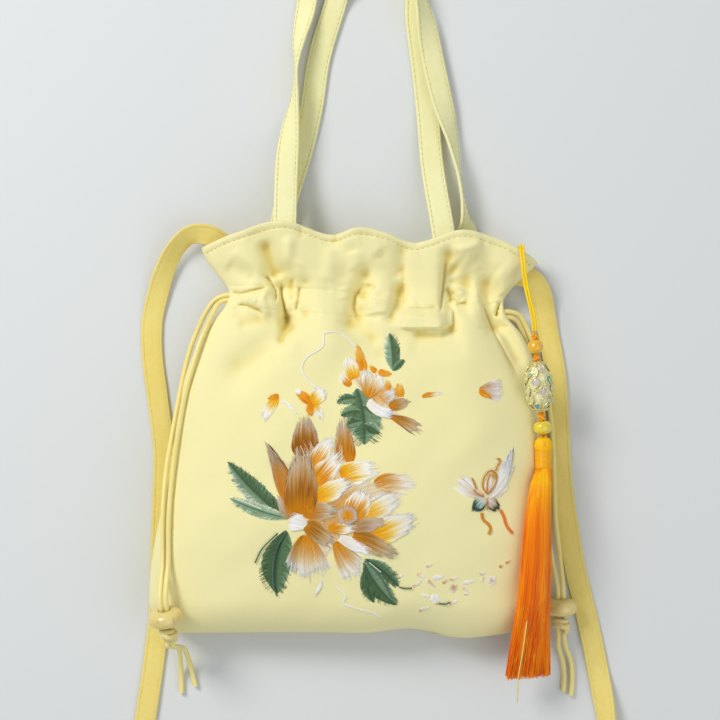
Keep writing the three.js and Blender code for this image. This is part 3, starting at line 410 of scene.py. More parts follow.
# The pouch's form: the same named sizes and tables as its solids, in millimetres.
pouch.update({"seam": 15, "corner": 21, "wall": 1.8, "frill": 40, "channel": 13, "wave": 5, "backDrop": 4})
halfWidth, baseY, rimTop = pouch["width"] / 2, -pouch["height"] / 2, pouch["height"] / 2
sections = rows(
    "up left right crown seam",
    (0.0, 1.0, 1.0, 0.72, 1.0), (0.1, 1.0, 1.0, 0.84, 1.0), (0.2, 0.98, 0.997, 0.94, 1.0),
    (0.3, 0.94, 0.994, 1.0, 1.0), (0.38, 0.9, 0.99, 1.0, 0.98), (0.46, 0.865, 0.985, 0.97, 0.95),
    (0.54, 0.846, 0.978, 0.92, 0.9), (0.62, 0.826, 0.966, 0.85, 0.85), (0.68, 0.785, 0.948, 0.78, 0.8),
    (0.74, 0.728, 0.893, 0.68, 0.74), (0.78, 0.662, 0.825, 0.58, 0.7), (0.82, 0.606, 0.804, 0.5, 0.66),
    (0.85, 0.602, 0.842, 0.47, 0.64), (0.89, 0.662, 0.925, 0.52, 0.62), (0.92, 0.71, 0.985, 0.57, 0.62),
    (0.96, 0.745, 1.0, 0.6, 0.64), (1.04, 0.765, 1.0, 0.62, 0.66),
)
rim = rows(
    "across drop neck lift",
    (-1.0, 0.27, 0.8, 0.0), (-0.78, 0.08, 0.8, 0.04), (-0.5, -0.08, 0.83, 0.1), (-0.23, 0.1, 0.88, -0.09),
    (-0.07, 0.01, 0.9, 0.06), (0.08, 0.07, 0.93, -0.01), (0.25, 0.21, 1.02, -0.1), (0.52, 0.04, 1.1, 0.07),
    (0.7, 0.13, 1.08, 0.0), (0.88, 0.32, 1.05, 0.02), (1.0, 0.48, 1.04, 0.0),
)
baseLine = rows("across rise", (-1.0, 0.0), (-0.5, 0.1), (-0.1, 0.1), (0.12, 0.05), (0.36, 0.5), (0.72, -0.5),
                (1.0, -0.1))
frontFolds = [  # from across, up, to across, up, wide, rise
    (-0.31, 0.89, -0.285, 0.76, 0.045, -0.14), (-0.33, 0.87, -0.43, 0.97, 0.07, -0.09),
    (-0.3, 0.77, -0.56, 0.64, 0.1, -0.1), (-0.48, 0.835, -0.38, 0.815, 0.09, 0.08),
    (-0.55, 0.79, -0.4, 0.775, 0.05, -0.05), (-0.21, 0.86, -0.215, 0.79, 0.035, -0.09),
    (-0.13, 0.85, -0.08, 0.72, 0.1, 0.07), (0.09, 0.88, 0.03, 0.77, 0.045, -0.1),
    (0.04, 0.76, 0.17, 0.7, 0.07, -0.08), (0.17, 0.84, 0.2, 0.79, 0.07, 0.06),
    (0.1, 0.9, 0.09, 0.97, 0.06, -0.06), (0.28, 0.94, 0.28, 0.81, 0.035, -0.06),
    (0.52, 0.93, 0.53, 0.755, 0.04, -0.14), (0.28, 0.775, 0.48, 0.772, 0.06, 0.07),
    (0.26, 0.735, 0.5, 0.735, 0.06, -0.05), (0.62, 0.87, 0.6, 0.8, 0.035, -0.08),
    (0.71, 0.86, 0.75, 0.76, 0.045, -0.14), (0.8, 0.76, 0.95, 0.62, 0.08, -0.14),
    (0.78, 0.9, 0.9, 0.88, 0.07, 0.07), (0.56, 0.74, 0.66, 0.5, 0.14, 0.05),
    (0, 0.7, -0.1, 0.5, 0.15, -0.05),
]
backFolds = [
    (-0.46, 0.91, -0.52, 0.72, 0.05, 0.06), (-0.25, 0.93, -0.27, 0.68, 0.055, 0.08),
    (-0.04, 0.91, -0.02, 0.71, 0.05, 0.07), (0.2, 0.92, 0.21, 0.69, 0.055, 0.08),
    (0.43, 0.91, 0.47, 0.7, 0.05, 0.075), (0.64, 0.9, 0.7, 0.71, 0.05, 0.06),
]


def rimY(s):
    return rimTop - pouch["frill"] * read(rim, "across", "drop", s)


def backRimY(s):
    return rimY(s) - pouch["backDrop"] * (1 - s * s)


def neckTopY(s):
    return rimTop - pouch["frill"] * read(rim, "across", "neck", s)


def baseSeamY(s):
    return baseY + pouch["wave"] * read(baseLine, "across", "rise", s)


def upAt(y):
    return (y - baseY) / pouch["height"]


def seamZ(y):
    return pouch["seam"] * read(sections, "up", "seam", upAt(y))


def quarterRound(rise):
    return np.sqrt(1 - (1 - np.clip(rise / pouch["corner"], 0, 1)) ** 2)


def sides(y):
    inset = pouch["corner"] * (1 - quarterRound(y - baseY))
    return (-halfWidth * read(sections, "up", "left", upAt(y)) + inset,
            halfWidth * read(sections, "up", "right", upAt(y)) - inset)


def acrossAt(x, y):
    left, right = sides(y)
    return np.clip((2 * x - left - right) / (right - left), -1, 1)


def foldRise(folds, x, y):
    rise = 0
    for ax, au, bx, bu, wide, lift in folds:
        start = np.array([ax * halfWidth, baseY + au * pouch["height"]])
        along = np.array([bx * halfWidth, baseY + bu * pouch["height"]]) - start
        t = np.clip(((x - start[0]) * along[0] + (y - start[1]) * along[1]) / (along @ along), 0, 1)
        away = np.hypot(x - start[0] - t * along[0], y - start[1] - t * along[1])
        rise = rise + lift * pouch["depth"] * np.exp(-((away / (wide * halfWidth)) ** 2))
    return rise


# Sharper folds of the cloth, drawn over the picture. Each has its points in picture pixels, its
# width in pixels and its rise in millimetres. A crease has steep sides, and a ledge is a fold
# whose left side, as its points run, lies over the cloth on its other side.
creases = {
    "soft": [
        ([(262, 238), (269, 258), (276, 281)], 6.5, -4.2), ([(290, 234), (287, 262), (284, 286)], 6, 1.8),
        ([(287, 310), (286, 328), (279, 347)], 5, -3.2), ([(292, 276), (291, 290), (292, 302)], 3.2, -2.2),
        ([(352, 240), (349, 262), (342, 284)], 8, -1.2),
        ([(287, 312), (275, 340), (250, 360), (222, 374)], 11, -1.7),
        ([(299, 288), (297, 330), (286, 362)], 9, 1.2), ([(361, 300), (361, 325), (379, 345)], 5.5, -1.4),
        ([(374, 298), (376, 316)], 11, 2), ([(376, 250), (390, 266), (402, 278)], 9, -1.8),
        ([(468, 256), (484, 264), (502, 276)], 11, -2.2), ([(404, 345), (440, 350), (470, 344)], 11, -1.2),
        ([(500, 318), (512, 345), (524, 370)], 7, -1.4), ([(230, 250), (250, 264), (262, 274)], 7, 1),
        ([(332, 244), (330, 264), (326, 284)], 8, 1.2), ([(373, 289), (366, 288), (361, 300)], 4, -2),
        ([(402, 280), (397, 303), (388, 327)], 6, -3), ([(452, 262), (463, 274), (459, 288)], 9.5, -3.6),
        ([(448, 252), (466, 249), (484, 243)], 5, 1.8), ([(410, 334), (430, 336), (450, 335)], 4.5, -1.6),
        ([(225, 262), (240, 272), (256, 280)], 9, -1.4), ([(262, 316), (250, 322), (236, 326)], 6, -1.2),
        ([(268, 285), (262, 300), (268, 318)], 4, 1.6), ([(246, 296), (258, 301)], 6, 0.8),
        ([(291, 287), (289, 300), (286, 312)], 3.5, 0.9), ([(306, 280), (303, 296), (303, 312)], 4, 0.9),
        ([(365, 283), (372, 296), (368, 312)], 9, 1.4), ([(384, 292), (388, 306), (382, 318)], 7, 0.9),
        ([(343, 286), (346, 300)], 7, 0.8), ([(425, 316), (410, 317), (444, 316)], 5, 0.9),
        ([(474, 288), (482, 302), (488, 318)], 4, 1.2), ([(462, 290), (466, 302)], 3.5, 0.8),
        ([(455, 292), (457, 306)], 3, 0.7), ([(500, 288), (520, 281)], 7, 1),
        ([(486, 312), (500, 345), (518, 376)], 4, 0.9), ([(300, 260), (292, 276)], 7, 0.7),
        ([(352, 250), (356, 272)], 8, 0.9), ([(472, 250), (478, 272)], 9, 0.7),
    ],
    "crease": [
        ([(262, 272), (270, 281), (275, 290), (276, 304)], 1.8, -2),
        ([(279, 280), (281, 296), (285, 314), (286, 324)], 1.7, -2.3),
        ([(299, 284), (298, 298), (295, 314)], 2, -1.7),
        ([(227, 291), (240, 293), (256, 289), (270, 286)], 1.5, -1.3),
        ([(235, 304), (246, 305), (258, 310), (265, 315)], 1.5, -1.6),
        ([(363, 285), (355, 296), (354, 308), (358, 318), (361, 324)], 2, -1.1),
        ([(366, 284), (372, 286), (377, 290)], 1.8, -1.2),
        ([(403, 262), (403.5, 284), (404, 308)], 1.6, -0.5),
        ([(406, 307.5), (422, 308), (440, 307)], 1.5, -0.8),
        ([(446, 256), (444, 280), (441, 308), (440, 318)], 1.8, -1.7),
        ([(446, 285), (452, 296), (452, 304)], 1.6, -1.3),
        ([(452, 296), (460, 303), (470, 303)], 1.6, -1.2),
        ([(451, 290), (458, 296), (464, 300)], 1.6, -0.9),
        ([(481, 291), (484, 304), (490, 319), (498, 338), (508, 358), (520, 378)], 2.2, -1.9),
        ([(503, 300), (500, 308), (498, 318)], 2, -2.2), ([(506, 302), (516, 296), (528, 283)], 2.2, -1.4),
        ([(336, 232), (335, 244)], 2.5, -0.5), ([(300, 226), (303, 240)], 2.5, -0.5),
        ([(415, 232), (417, 250)], 2.5, -0.4),
    ],
    "ledge": [
        ([(398, 322), (401, 328), (420, 329), (438, 328.5), (452, 328)], 1.3, 2.2),
        ([(452, 328), (452.5, 318), (453, 308)], 1.3, 1.8),
        ([(498, 296), (510, 291), (524, 281), (536, 270)], 2, 1.6),
    ],
}
scalePerPixel = 0.55 / 935


def fromPicture(px, py, z):
    # where the camera's ray through a pixel meets a height, in millimetres
    scale = scalePerPixel * (cameraSet["height"] * 1000 - z)
    return (px - 360) * scale + cameraSet["x"] * 1000, (360 - py) * scale + cameraSet["y"] * 1000


def awayFrom(points, x, y):
    # distance from a path, the side of it and how far along it, all by its nearest piece
    p = np.array([fromPicture(a, b, 24) for a, b in points])
    lengths = np.linalg.norm(np.diff(p, axis=0), axis=1)
    before = np.concatenate([[0], np.cumsum(lengths)])
    best = np.full(np.shape(x), 1e9)
    side, along = np.zeros(np.shape(x)), np.zeros(np.shape(x))
    for i in range(len(p) - 1):
        d = p[i + 1] - p[i]
        t = np.clip(((x - p[i][0]) * d[0] + (y - p[i][1]) * d[1]) / (d @ d), 0, 1)
        ex, ey = x - p[i][0] - t * d[0], y - p[i][1] - t * d[1]
        away = np.hypot(ex, ey)
        near = away < best
        best = np.where(near, away, best)
        side = np.where(near, np.sign(d[0] * ey - d[1] * ex), side)
        along = np.where(near, (before[i] + t * lengths[i]) / before[-1], along)
    return best, side, along


creaseSet = {"pixel": 0.55, "fade": 0.22, "soft": 1.35, "crease": 2.3, "ledge": 2.0, "sharpness": 1.2,
             "step": 0.35, "shelf": 5}


def creaseRise(x, y):
    rise = np.zeros(np.shape(x))
    for kind, strokes in creases.items():
        for points, wide, lift in strokes:
            width = wide * creaseSet["pixel"]
            near, side, along = awayFrom(points, x, y)
            if kind == "soft":
                form = np.exp(-((near / width) ** 2))
            elif kind == "crease":
                form = np.exp(-((near / width) ** creaseSet["sharpness"]))
            else:
                step = 1 / (1 + np.exp(-near * side / (creaseSet["step"] * width)))
                form = step * np.exp(-near / (creaseSet["shelf"] * width))
            ends = smooth(along, 0, creaseSet["fade"]) * smooth(1 - along, 0, creaseSet["fade"])
            rise += creaseSet[kind] * lift * ends * form
    return rise


def ripple(x, y, seed, length, count=7):
    # slow swells of the cloth, from a few waves in seeded directions
    pick = random.Random(seed)
    total = 0
    for _ in range(count):
        turn, phase = pick.uniform(0, math.pi), pick.uniform(0, 2 * math.pi)
        wave = 2 * math.pi / (length * pick.uniform(0.6, 1.5))
        total = total + np.sin((x * math.cos(turn) + y * math.sin(turn)) * wave + phase)
    return total / count


def seamLines(x, y, s):
    # hem, channel seams and the small puckers beside them
    drop = rimY(s) - y
    hem = 0.4 * np.exp(-(((drop - 1.6) / 1.4) ** 2)) - 0.55 * np.exp(-(((drop - 3.7) / 0.6) ** 2))
    pucker = 0
    gather = 0.35 + 0.65 * np.exp(-(((s + 0.36) / 0.22) ** 2)) + 0.8 * np.exp(-(((s - 0.6) / 0.16) ** 2))
    for seam, seed in ((neckTopY(s), 3), (neckTopY(s) - pouch["channel"], 8)):
        near = np.abs(y - seam)
        waves = ripple(x, y * 0.15, seed, 5.5)
        pucker = pucker + 0.9 * gather * waves * np.exp(-near / 3.2) - 0.45 * np.exp(-((near / 0.8) ** 2))
    hemWaves = ripple(x, y * 0.2, 21, 6.0)
    pucker = pucker + 0.8 * hemWaves * np.exp(-np.abs(drop - 3.7) / 2.6)
    return hem + pucker


def frontZ(x, y, fine=True):
    x, y = np.asarray(x, float), np.asarray(y, float)
    s = acrossAt(x, y)
    seam = seamZ(y)
    crown = pouch["depth"] * read(sections, "up", "crown", upAt(y))
    arch = (1 - np.abs(s) ** 2.3) ** (1 / 2.3)
    rise = quarterRound(y - baseSeamY(s))
    frill = np.clip((y - neckTopY(s)) / (rimY(s) - neckTopY(s)), 0, 1)
    ruffle = pouch["depth"] * read(rim, "across", "lift", s) * frill
    fade = smooth(1 - np.abs(s), 0, 0.14)
    z = seam + (crown - seam) * arch * rise + (foldRise(frontFolds, x, y) * rise + ruffle) * fade
    if fine:
        edge = smooth(1 - np.abs(s), 0, 0.05) * rise
        swell = 1.3 * ripple(x, y, 5, 52) + 0.4 * ripple(x, y, 6, 21)
        z = z + (creaseRise(x, y) + seamLines(x, y, s) + swell) * edge
    return z


def backZ(x, y):
    s = acrossAt(x, y)
    arch = (1 - np.abs(s) ** 4) ** 0.25
    rise = quarterRound(y - baseSeamY(s))
    dish = np.maximum(0, seamZ(y) * (1 - 1.05 * arch * rise))
    return dish + foldRise(backFolds, x, y) * smooth(1 - np.abs(s), 0, 0.14) * rise


# Painted crease shade on the cloth: the more a point dips below the blurred cloth around it, the more of a
# deeper yellow its colour takes.
creaseShadeSet = {"blurs": 20, "deep": 1.3, "from": 0.16, "most": 0.85, "backBelow": 8}  # millimetres of dip


def surfaceGrid(name, columns, rowCount, place, look, slot, *nodes, size=(1.0, 1.0)):
    # a grid whose points are laid out by a function, with its own map in millimetres and an
    # attribute that says how far each point dips below the cloth around it, used as painted crease shade
    mesh = bmesh.new()
    mesh.loops.layers.uv.new("surface")
    bmesh.ops.create_grid(mesh, x_segments=columns, y_segments=rowCount, size=0.5, calc_uvs=True)
    flat = np.array([vert.co for vert in mesh.verts])
    low, high = flat.min(0), flat.max(0)
    u, v = (flat[:, 0] - low[0]) / (high[0] - low[0]), (flat[:, 1] - low[1]) / (high[1] - low[1])
    spots = place(u, v)
    hollow = mesh.verts.layers.float_color.new("hollow")
    height = spots[:, 2].reshape(rowCount + 1, columns + 1)
    around = height
    for _ in range(creaseShadeSet["blurs"]):
        wide = np.pad(around, 1, mode="edge")
        around = (wide[:-2, 1:-1] + wide[2:, 1:-1] + wide[1:-1, :-2] + wide[1:-1, 2:] + 2 * around) / 6
    outward = np.sign(height.mean() - creaseShadeSet["backBelow"])  # the back faces down
    sunk = (around - height) * outward / creaseShadeSet["deep"] - creaseShadeSet["from"]
    for vert, spot, deep in zip(mesh.verts, spots, np.clip(sunk, 0, creaseShadeSet["most"]).ravel()):
        vert.co = spot / 1000
        vert[hollow] = (deep, deep, deep, 1)
    layer = mesh.loops.layers.uv.active
    for face in mesh.faces:
        for loop in face.loops:
            loop[layer].uv = (loop[layer].uv.x * size[0], loop[layer].uv.y * size[1])
    return keep(name, mesh, look, slot, *nodes)


def clothPlace(height, rimLine, zones, even):
    total = sum(count for _, count in zones)

    def place(u, v):
        t = 2 * u - 1
        s = t * (1 - even) + np.sin(t * math.pi / 2) * even
        row = v * total
        y = np.zeros_like(u)
        start = 0
        low = baseSeamY(s)
        turnEnd = low + pouch["corner"]
        neck = neckTopY(s)
        spans = {
            "turn": lambda q: low + (turnEnd - low) * (1 - np.cos(q * math.pi / 2)),
            "body": lambda q: turnEnd + (neck - pouch["channel"] - turnEnd) * (1 - (1 - q) ** 1.3),
            "channel": lambda q: neck - pouch["channel"] * (1 - q),
            "frill": lambda q: neck + (rimLine(s) - neck) * q,
        }
        for zone, count in zones:
            q = np.clip((row - start) / count, 0, 1)
            y = np.where(row >= start - 1e-6, spans[zone](q), y)
            start += count
        left, right = sides(y)
        x = left + (right - left) * (s + 1) / 2
        onSeam = (u < 1e-6) | (u > 1 - 1e-6) | (v < 1e-6)
        z = np.where(onSeam, seamZ(y), height(x, y))
        return np.stack([x, y, z], 1)

    return place


clothLook = Look("yellowCloth", Roughness=0.78, Sheen_Weight=0.25, Sheen_Roughness=0.5,
                 Specular_IOR_Level=0.3)
clothAt = clothLook.place()
clothTone = clothLook.noise(clothAt, 9, 4, 0.55)
clothFace = clothLook.blend(clothTone, srgb("f3e9a6"), srgb("f9f1b8"))
# A deeper yellow is blended in by how far the cloth dips: painted shade in its creases and dips.
clothLook.feed("Base Color", clothLook.blend(clothLook.attribute("hollow"), clothFace, srgb("e6d076")))
clothSlub = clothLook.bump(clothLook.noise(clothAt, 260, 3), 0.0003, 0.25)
clothLook.feed("Normal", weave(clothLook, clothAt, 2400, 0.00012, clothSlub))

frontZones = (("turn", 14), ("body", 96), ("channel", 28), ("frill", 50))  # rows of the grid in each
backZones = (("turn", 12), ("body", 40), ("channel", 16), ("frill", 28))
front = surfaceGrid("front_cloth", 250, 188,
                    clothPlace(frontZ, rimY, frontZones, 0.6), clothLook, "cloth", "front_panel")
modifier(front, "SOLIDIFY", thickness=0.0016, offset=-1)
back = surfaceGrid("back_cloth", 120, 96,
                   clothPlace(backZ, backRimY, backZones, 0.75), clothLook, "cloth", "back_panel")
modifier(back, "SOLIDIFY", thickness=0.0016, offset=1)
print("pouch made")


# Bands: two handles and the shoulder strap.
bandSet = {"handleWidth": 13.2, "handleThickness": 2.0, "seam": 16, "strapWidth": 12.4, "strapThickness": 1.8,
           "strapDrop": 285, "strapSpread": 264}


def bandFrame(stops, width, thickness, each):
    # middles, and the ways across and through a band, from stops of x, y, lift and turn
    stops = np.array(stops, float)
    flat = curveThrough(np.column_stack([stops[:, :2], np.zeros(len(stops))]), each)
    table = {"i": np.arange(len(stops), dtype=float), "lift": stops[:, 2], "turn": stops[:, 3]}
    at = np.arange(len(flat)) / each
    turn = np.radians(read(table, "i", "turn", at))
    tall = np.abs(np.sin(turn)) * width + np.abs(np.cos(turn)) * thickness
    flat[:, 2] = read(table, "i", "lift", at) + tall / 2
    tangent = np.gradient(flat, axis=0)
    tangent /= np.linalg.norm(tangent, axis=1)[:, None]
    side = np.column_stack([tangent[:, 1], -tangent[:, 0], np.zeros(len(flat))])
    side /= np.linalg.norm(side, axis=1)[:, None]
    top = np.cross(side, tangent)
    across = side * np.cos(turn)[:, None] + top * np.sin(turn)[:, None]
    return flat, across, np.cross(across, tangent)


def makeBand(name, stops, width, thickness, look, node):
    each = 6
    middle, across, through = bandFrame(stops, width, thickness, each)
    steps = len(middle) - 1
    long = lengthOf(middle)

    def place(u, v):
        k = np.clip(np.rint(v * steps).astype(int), 0, steps)
        w = u - 0.5
        crown = 0.22 * (1 - (2 * np.abs(w)) ** 6) - 0.22 * np.exp(-(((np.abs(w) - 0.36) / 0.05) ** 2))
        crown = crown + 0.12 * ripple(v * long, u * 20, 11, 9.0)
        return middle[k] + across[k] * (w * (width - 0.5))[:, None] + through[k] * crown[:, None]

    piece = surfaceGrid(name, 14, steps, place, look, "band", node, size=(width, long))
    modifier(piece, "SOLIDIFY", thickness=(thickness - 0.3) / 1000, offset=0)
    modifier(piece, "BEVEL", width=0.0006, segments=2, limit_method="ANGLE", angle_limit=math.radians(50))
    return {"middle": middle, "across": across, "through": through, "length": long, "width": width,
            "thickness": thickness}


frontPath = [
    (-0.985, 0.18, 0.9, 5), (-0.94, 0.28, 0.4, 40), (-0.89, 0.36, 0.2, 72), (-0.87, 0.44, 0.1, 84),
    (-0.84, 0.51, 0.06, 60), (-0.74, 0.62, 0.04, 28), (-0.68, 0.74, 0.04, 55), (-0.56, 0.86, 0.04, 85),
    (-0.3, 0.97, 0.04, 90), (0.04, 1, 0.04, 90), (0.45, 0.96, 0.04, 88), (0.7, 0.86, 0.04, 60),
    (0.75, 0.75, 0.03, 0), (0.7, 0.67, 0.03, 0), (0.67, 0.6, 0.03, 0), (0.75, 0.45, 0.03, 0),
    (0.81, 0.33, 0.08, 0), (0.87, 0.17, 0.5, 0),
]
rearPath = [
    (-0.93, 0.1, 0.26, 0), (-0.78, 0.25, 0.06, 0), (-0.67, 0.39, 0.03, 0), (-0.58, 0.56, 0.03, 0),
    (-0.4, 0.74, 0.04, 5), (-0.27, 0.88, 0.04, 75), (-0.13, 0.97, 0.04, 90), (0.04, 1, 0.04, 90),
    (0.18, 0.96, 0.06, 90), (0.3, 0.88, 0.1, 88), (0.42, 0.8, 0.26, 74), (0.52, 0.72, 0.26, 52),
    (0.62, 0.57, 0.26, 12), (0.73, 0.42, 0.26, 20), (0.85, 0.28, 0.12, 60), (0.93, 0.14, 0.12, 86),
    (0.99, 0.03, 0.14, 62),
]
handles = {
    "front": {"middle": 10.3, "span": 88, "rise": 206, "path": frontPath, "side": 1, "rim": rimY, "room": 1.0,
              "height": lambda x, y: frontZ(x, y, False)},
    "rear": {"middle": 15.4, "span": 105, "rise": 176, "path": rearPath, "height": backZ, "side": -1,
             "rim": backRimY, "room": 1.5},
}
strapPath = [
    (-0.53, 0.925, 0.64, 0), (-0.62, 0.96, 0.62, 0), (-0.7, 0.985, 0.6, 14), (-0.79, 0.987, 0.4, 34),
    (-0.87, 0.955, 0.22, 38), (-0.93, 0.9, 0.12, 26), (-0.975, 0.83, 0.05, 8), (-1, 0.77, 0.02, 0),
    (-1, 0.69, 0.02, 0), (-0.97, 0.575, 0.02, 0), (-0.94, 0.45, 0.02, 0), (-0.945, 0.32, 0.02, 0),
    (-0.955, 0.17, 0.02, 0), (-0.965, 0.03, 0.02, 0), (-0.825, -0.06, 0.02, 0), (-0.87, -0.2, 0.02, 0),
    (-0.93, -0.36, 0.03, 30), (-0.93, -0.52, 0.03, 70), (-0.82, -0.72, 0.03, 88), (-0.52, -0.92, 0.03, 90),
    (-0.05, -1, 0.03, 90), (0.42, -0.95, 0.03, 90), (0.8, -0.78, 0.03, 88), (1.02, -0.55, 0.03, 82),
    (1.11, -0.36, 0.03, 76), (1.12, -0.21, 0.03, 50), (1.08, -0.08, 0.02, 0), (1.225, 0.06, 0.02, 0),
    (1.18, 0.15, 0.02, 0), (1.145, 0.25, 0.02, 0), (1.11, 0.375, 0.02, 0), (1.095, 0.52, 0.02, 0),
    (1.078, 0.64, 0.02, 0), (1.04, 0.745, 0.02, 0), (1.02, 0.8, 0.08, 2), (1, 0.84, 0.26, 4),
    (0.97, 0.866, 0.4, 4), (0.93, 0.88, 0.48, 2), (0.88, 0.886, 0.5, 0), (0.82, 0.886, 0.5, 0),
]


def handleStops(way):
    width, thick = bandSet["handleWidth"], bandSet["handleThickness"]

    def sewn(x, reach):
        y = float(way["rim"](acrossAt(x, rimTop))) - reach * bandSet["seam"]
        dx = np.arange(-width / 2 - 1, width / 2 + 1.01, 1)
        slope = (way["height"](x + dx + 1, y) - way["height"](x + dx - 1, y)) / 2
        inside = way["height"](x + dx, y) - way["side"] * pouch["wall"] * np.hypot(1, slope)
        lift = inside.min() - way["room"] - thick if way["side"] > 0 else inside.max() + way["room"]
        return (x, y, float(lift), 0)

    left, right = way["middle"] - way["span"] / 2, way["middle"] + way["span"] / 2
    beyond = [(way["middle"] + a * way["span"] / 2, rimTop + up * way["rise"], lift * width, turn)
              for a, up, lift, turn in way["path"]]
    reaches = (1, 0.7, 0.35, 0.05)
    return [sewn(left, r) for r in reaches] + beyond + [sewn(right, r) for r in reversed(reaches)]


def bandFinish(name, dark, light):
    look = Look(name, Roughness=0.72, Sheen_Weight=0.25, Sheen_Roughness=0.5, Specular_IOR_Level=0.35)
    at = look.place()
    tone = look.noise(at, 320, 3, 0.7)
    slow = look.noise(at, 24, 3)
    look.feed("Base Color", look.blend((slow - 0.5) * 0.8 + tone, srgb(dark), srgb(light)))
    look.feed("Normal", weave(look, at, 2200, 0.00012, look.bump(tone, 0.0004, 0.35)))
    return look


handleLook = bandFinish("paleHandle", "eee7a0", "f7f4c2")
strapLook = bandFinish("yellowStrap", "ecd26c", "f5e388")

bandPieces = {}
for key, way in handles.items():
    bandPieces[key] = makeBand(f"handle_{key}_band", handleStops(way), bandSet["handleWidth"],
                               bandSet["handleThickness"], handleLook, f"handle_{key}")
strapStops = [(a * (bandSet["strapSpread"] if up < 0 else pouch["width"]) / 2,
               baseY + up * (bandSet["strapDrop"] if up < 0 else pouch["height"]), lift * pouch["seam"], turn)
              for a, up, lift, turn in strapPath]
bandPieces["strap"] = makeBand("shoulder_strap_band", strapStops, bandSet["strapWidth"],
                               bandSet["strapThickness"], strapLook, "shoulder_strap")
print("bands made", {key: round(band["length"]) for key, band in bandPieces.items()})

# Turned and knotted pieces: wooden beads, cord knots, the charm and its tassel.
def spun(name, profile, at, way, look, slot, *nodes, steps=48):
    # a closed outline of radius and height, in millimetres, turned about an axis that runs along way
    mesh = bmesh.new()
    verts = [mesh.verts.new((r / 1000, 0, h / 1000)) for r, h in profile]
    edges = [mesh.edges.new(pair) for pair in zip(verts, verts[1:] + verts[:1])]
    bmesh.ops.spin(mesh, geom=verts + edges, cent=(0, 0, 0), axis=(0, 0, 1), angle=2 * math.pi, steps=steps,
                   use_merge=True)
    bmesh.ops.remove_doubles(mesh, verts=mesh.verts, dist=1e-6)
    bmesh.ops.recalc_face_normals(mesh, faces=mesh.faces)
    turn = Vector((0, 0, 1)).rotation_difference(Vector(way)).to_matrix().to_4x4()
    bmesh.ops.transform(mesh, matrix=Matrix.Translation(Vector(at) / 1000) @ turn, verts=mesh.verts)
    return keep(name, mesh, look, slot, *nodes)


def ovalProfile(diameter, length, bore, steps=20, squareness=2.0, soft=0.35):
    # half of an oval from bottom to top, cut by its bore, with the bore's mouths eased
    power, points = 2 / squareness, []
    for k in range(steps + 1):
        angle = math.pi * (k / steps - 0.5)
        r = diameter / 2 * max(0.0, math.cos(angle)) ** power
        h = length / 2 * math.copysign(abs(math.sin(angle)) ** power, angle)
        if r > bore / 2 + soft:
            points.append((r, h))
    return points + [(bore / 2, points[-1][1] - soft), (bore / 2, points[0][1] + soft)]


woodSet = {"diameter": 18.8, "length": 10, "bore": 6.8, "squareness": 2.6, "dark": "dcc06a", "light": "ecdc92",
           "vein": "c9a655"}
woodLook = Look("paleWood", Roughness=0.3, Coat_Weight=0.7, Coat_Roughness=0.12, Specular_IOR_Level=0.5)
woodAt = woodLook.place()
woodTone = woodLook.noise(woodLook.stretch(woodAt, (1.0, 0.35, 1.0)), 110, 4, 0.6)
woodVein = woodLook.noise(woodLook.stretch(woodAt, (1.0, 0.12, 1.0)), 620, 3, 0.65)
woodBase = woodLook.blend(woodTone, srgb(woodSet["dark"]), srgb(woodSet["light"]))
woodDark = ((woodVein - 0.58) * 5.0).clamped(0, 0.55)
woodLook.feed("Base Color", woodLook.blend(woodDark, woodBase, srgb(woodSet["vein"])))
woodLook.feed("Normal", woodLook.bump(woodVein, 0.00008, 0.3))

knotLook = twoTone("knottedCord", "e2cb78", "f3e5a4", 300, 3, grain=(1600, 0.0002, 0.35), Roughness=0.42,
                   Sheen_Weight=0.3, Sheen_Roughness=0.4, Specular_IOR_Level=0.5)


def wrapLines(at, way, beside, wide, long, radius, turns, slant, reach=0.0):
    # a strand wound round the cords, and a second one that crosses over it on the upper side
    over = np.cross(beside, way)
    over = over if over[2] > 0 else -over
    t = np.linspace(0, 1, int(turns * 18) + 1)
    angle = 2 * math.pi * turns * t + 0.6
    swell = (wide / 2 - radius) * (1 - 0.16 * (2 * t - 1) ** 2)
    along = (t - 0.5) * (long - 2 * radius) + slant * np.cos(angle)
    wound = (at + np.outer(swell * np.cos(angle), beside) + np.outer(swell * np.sin(angle), over)
             + np.outer(along, way))
    t = np.linspace(-1, 1, 14)
    lap = np.cos(t * math.pi / 2)
    out = wide / 2 - radius
    crossing = (at + np.outer(t * out, beside) + np.outer(out * lap + reach, over)
                + np.outer(t * (long / 2 - radius) * 0.8, way))
    return [wound / 1000, crossing / 1000]


woodProfile = ovalProfile(woodSet["diameter"], woodSet["length"], woodSet["bore"], 28,
                          woodSet["squareness"], 0.6)
for side, pair in pairs.items():
    way, beside = pair["along"], pair["beside"]
    bead = spun(f"wood_bead_{side}", woodProfile, pair["at"], -way, woodLook, "wood", f"bead_{side}",
                steps=56)
    below = (drawstring["beadLength"] + drawstring["knotLength"]) / 2 + 2 * drawstring["fit"]
    knotAt = pair["at"] + way * below
    lines = wrapLines(knotAt, way, beside, 10.6, 8.8, 1.4, 2.1, 0.9, 0.9)
    knot = cording(f"cord_knot_{side}", lines, drawstring["diameter"] / 2, 4, knotLook, "cord", f"knot_{side}")
    cords[f"drawstring_{side}_a_cord"]["with"] = [bead, knot]
print("beads and knots made")

# Charm: cords over the rim, knots, two amber beads, an openwork bead and the tassel.
threadGrain = (2600, 0.0001, 0.5)
threadLook = twoTone("yellowThread", "f6c800", "ffe100", 260, grain=threadGrain, Roughness=0.38,
                     Specular_IOR_Level=0.35)
orangeLook = twoTone("orangeThread", "ee9408", "fab61e", 500, grain=threadGrain, Roughness=0.38,
                     Specular_IOR_Level=0.4)


def onCharm(share):
    return charmTop + charmRun * share


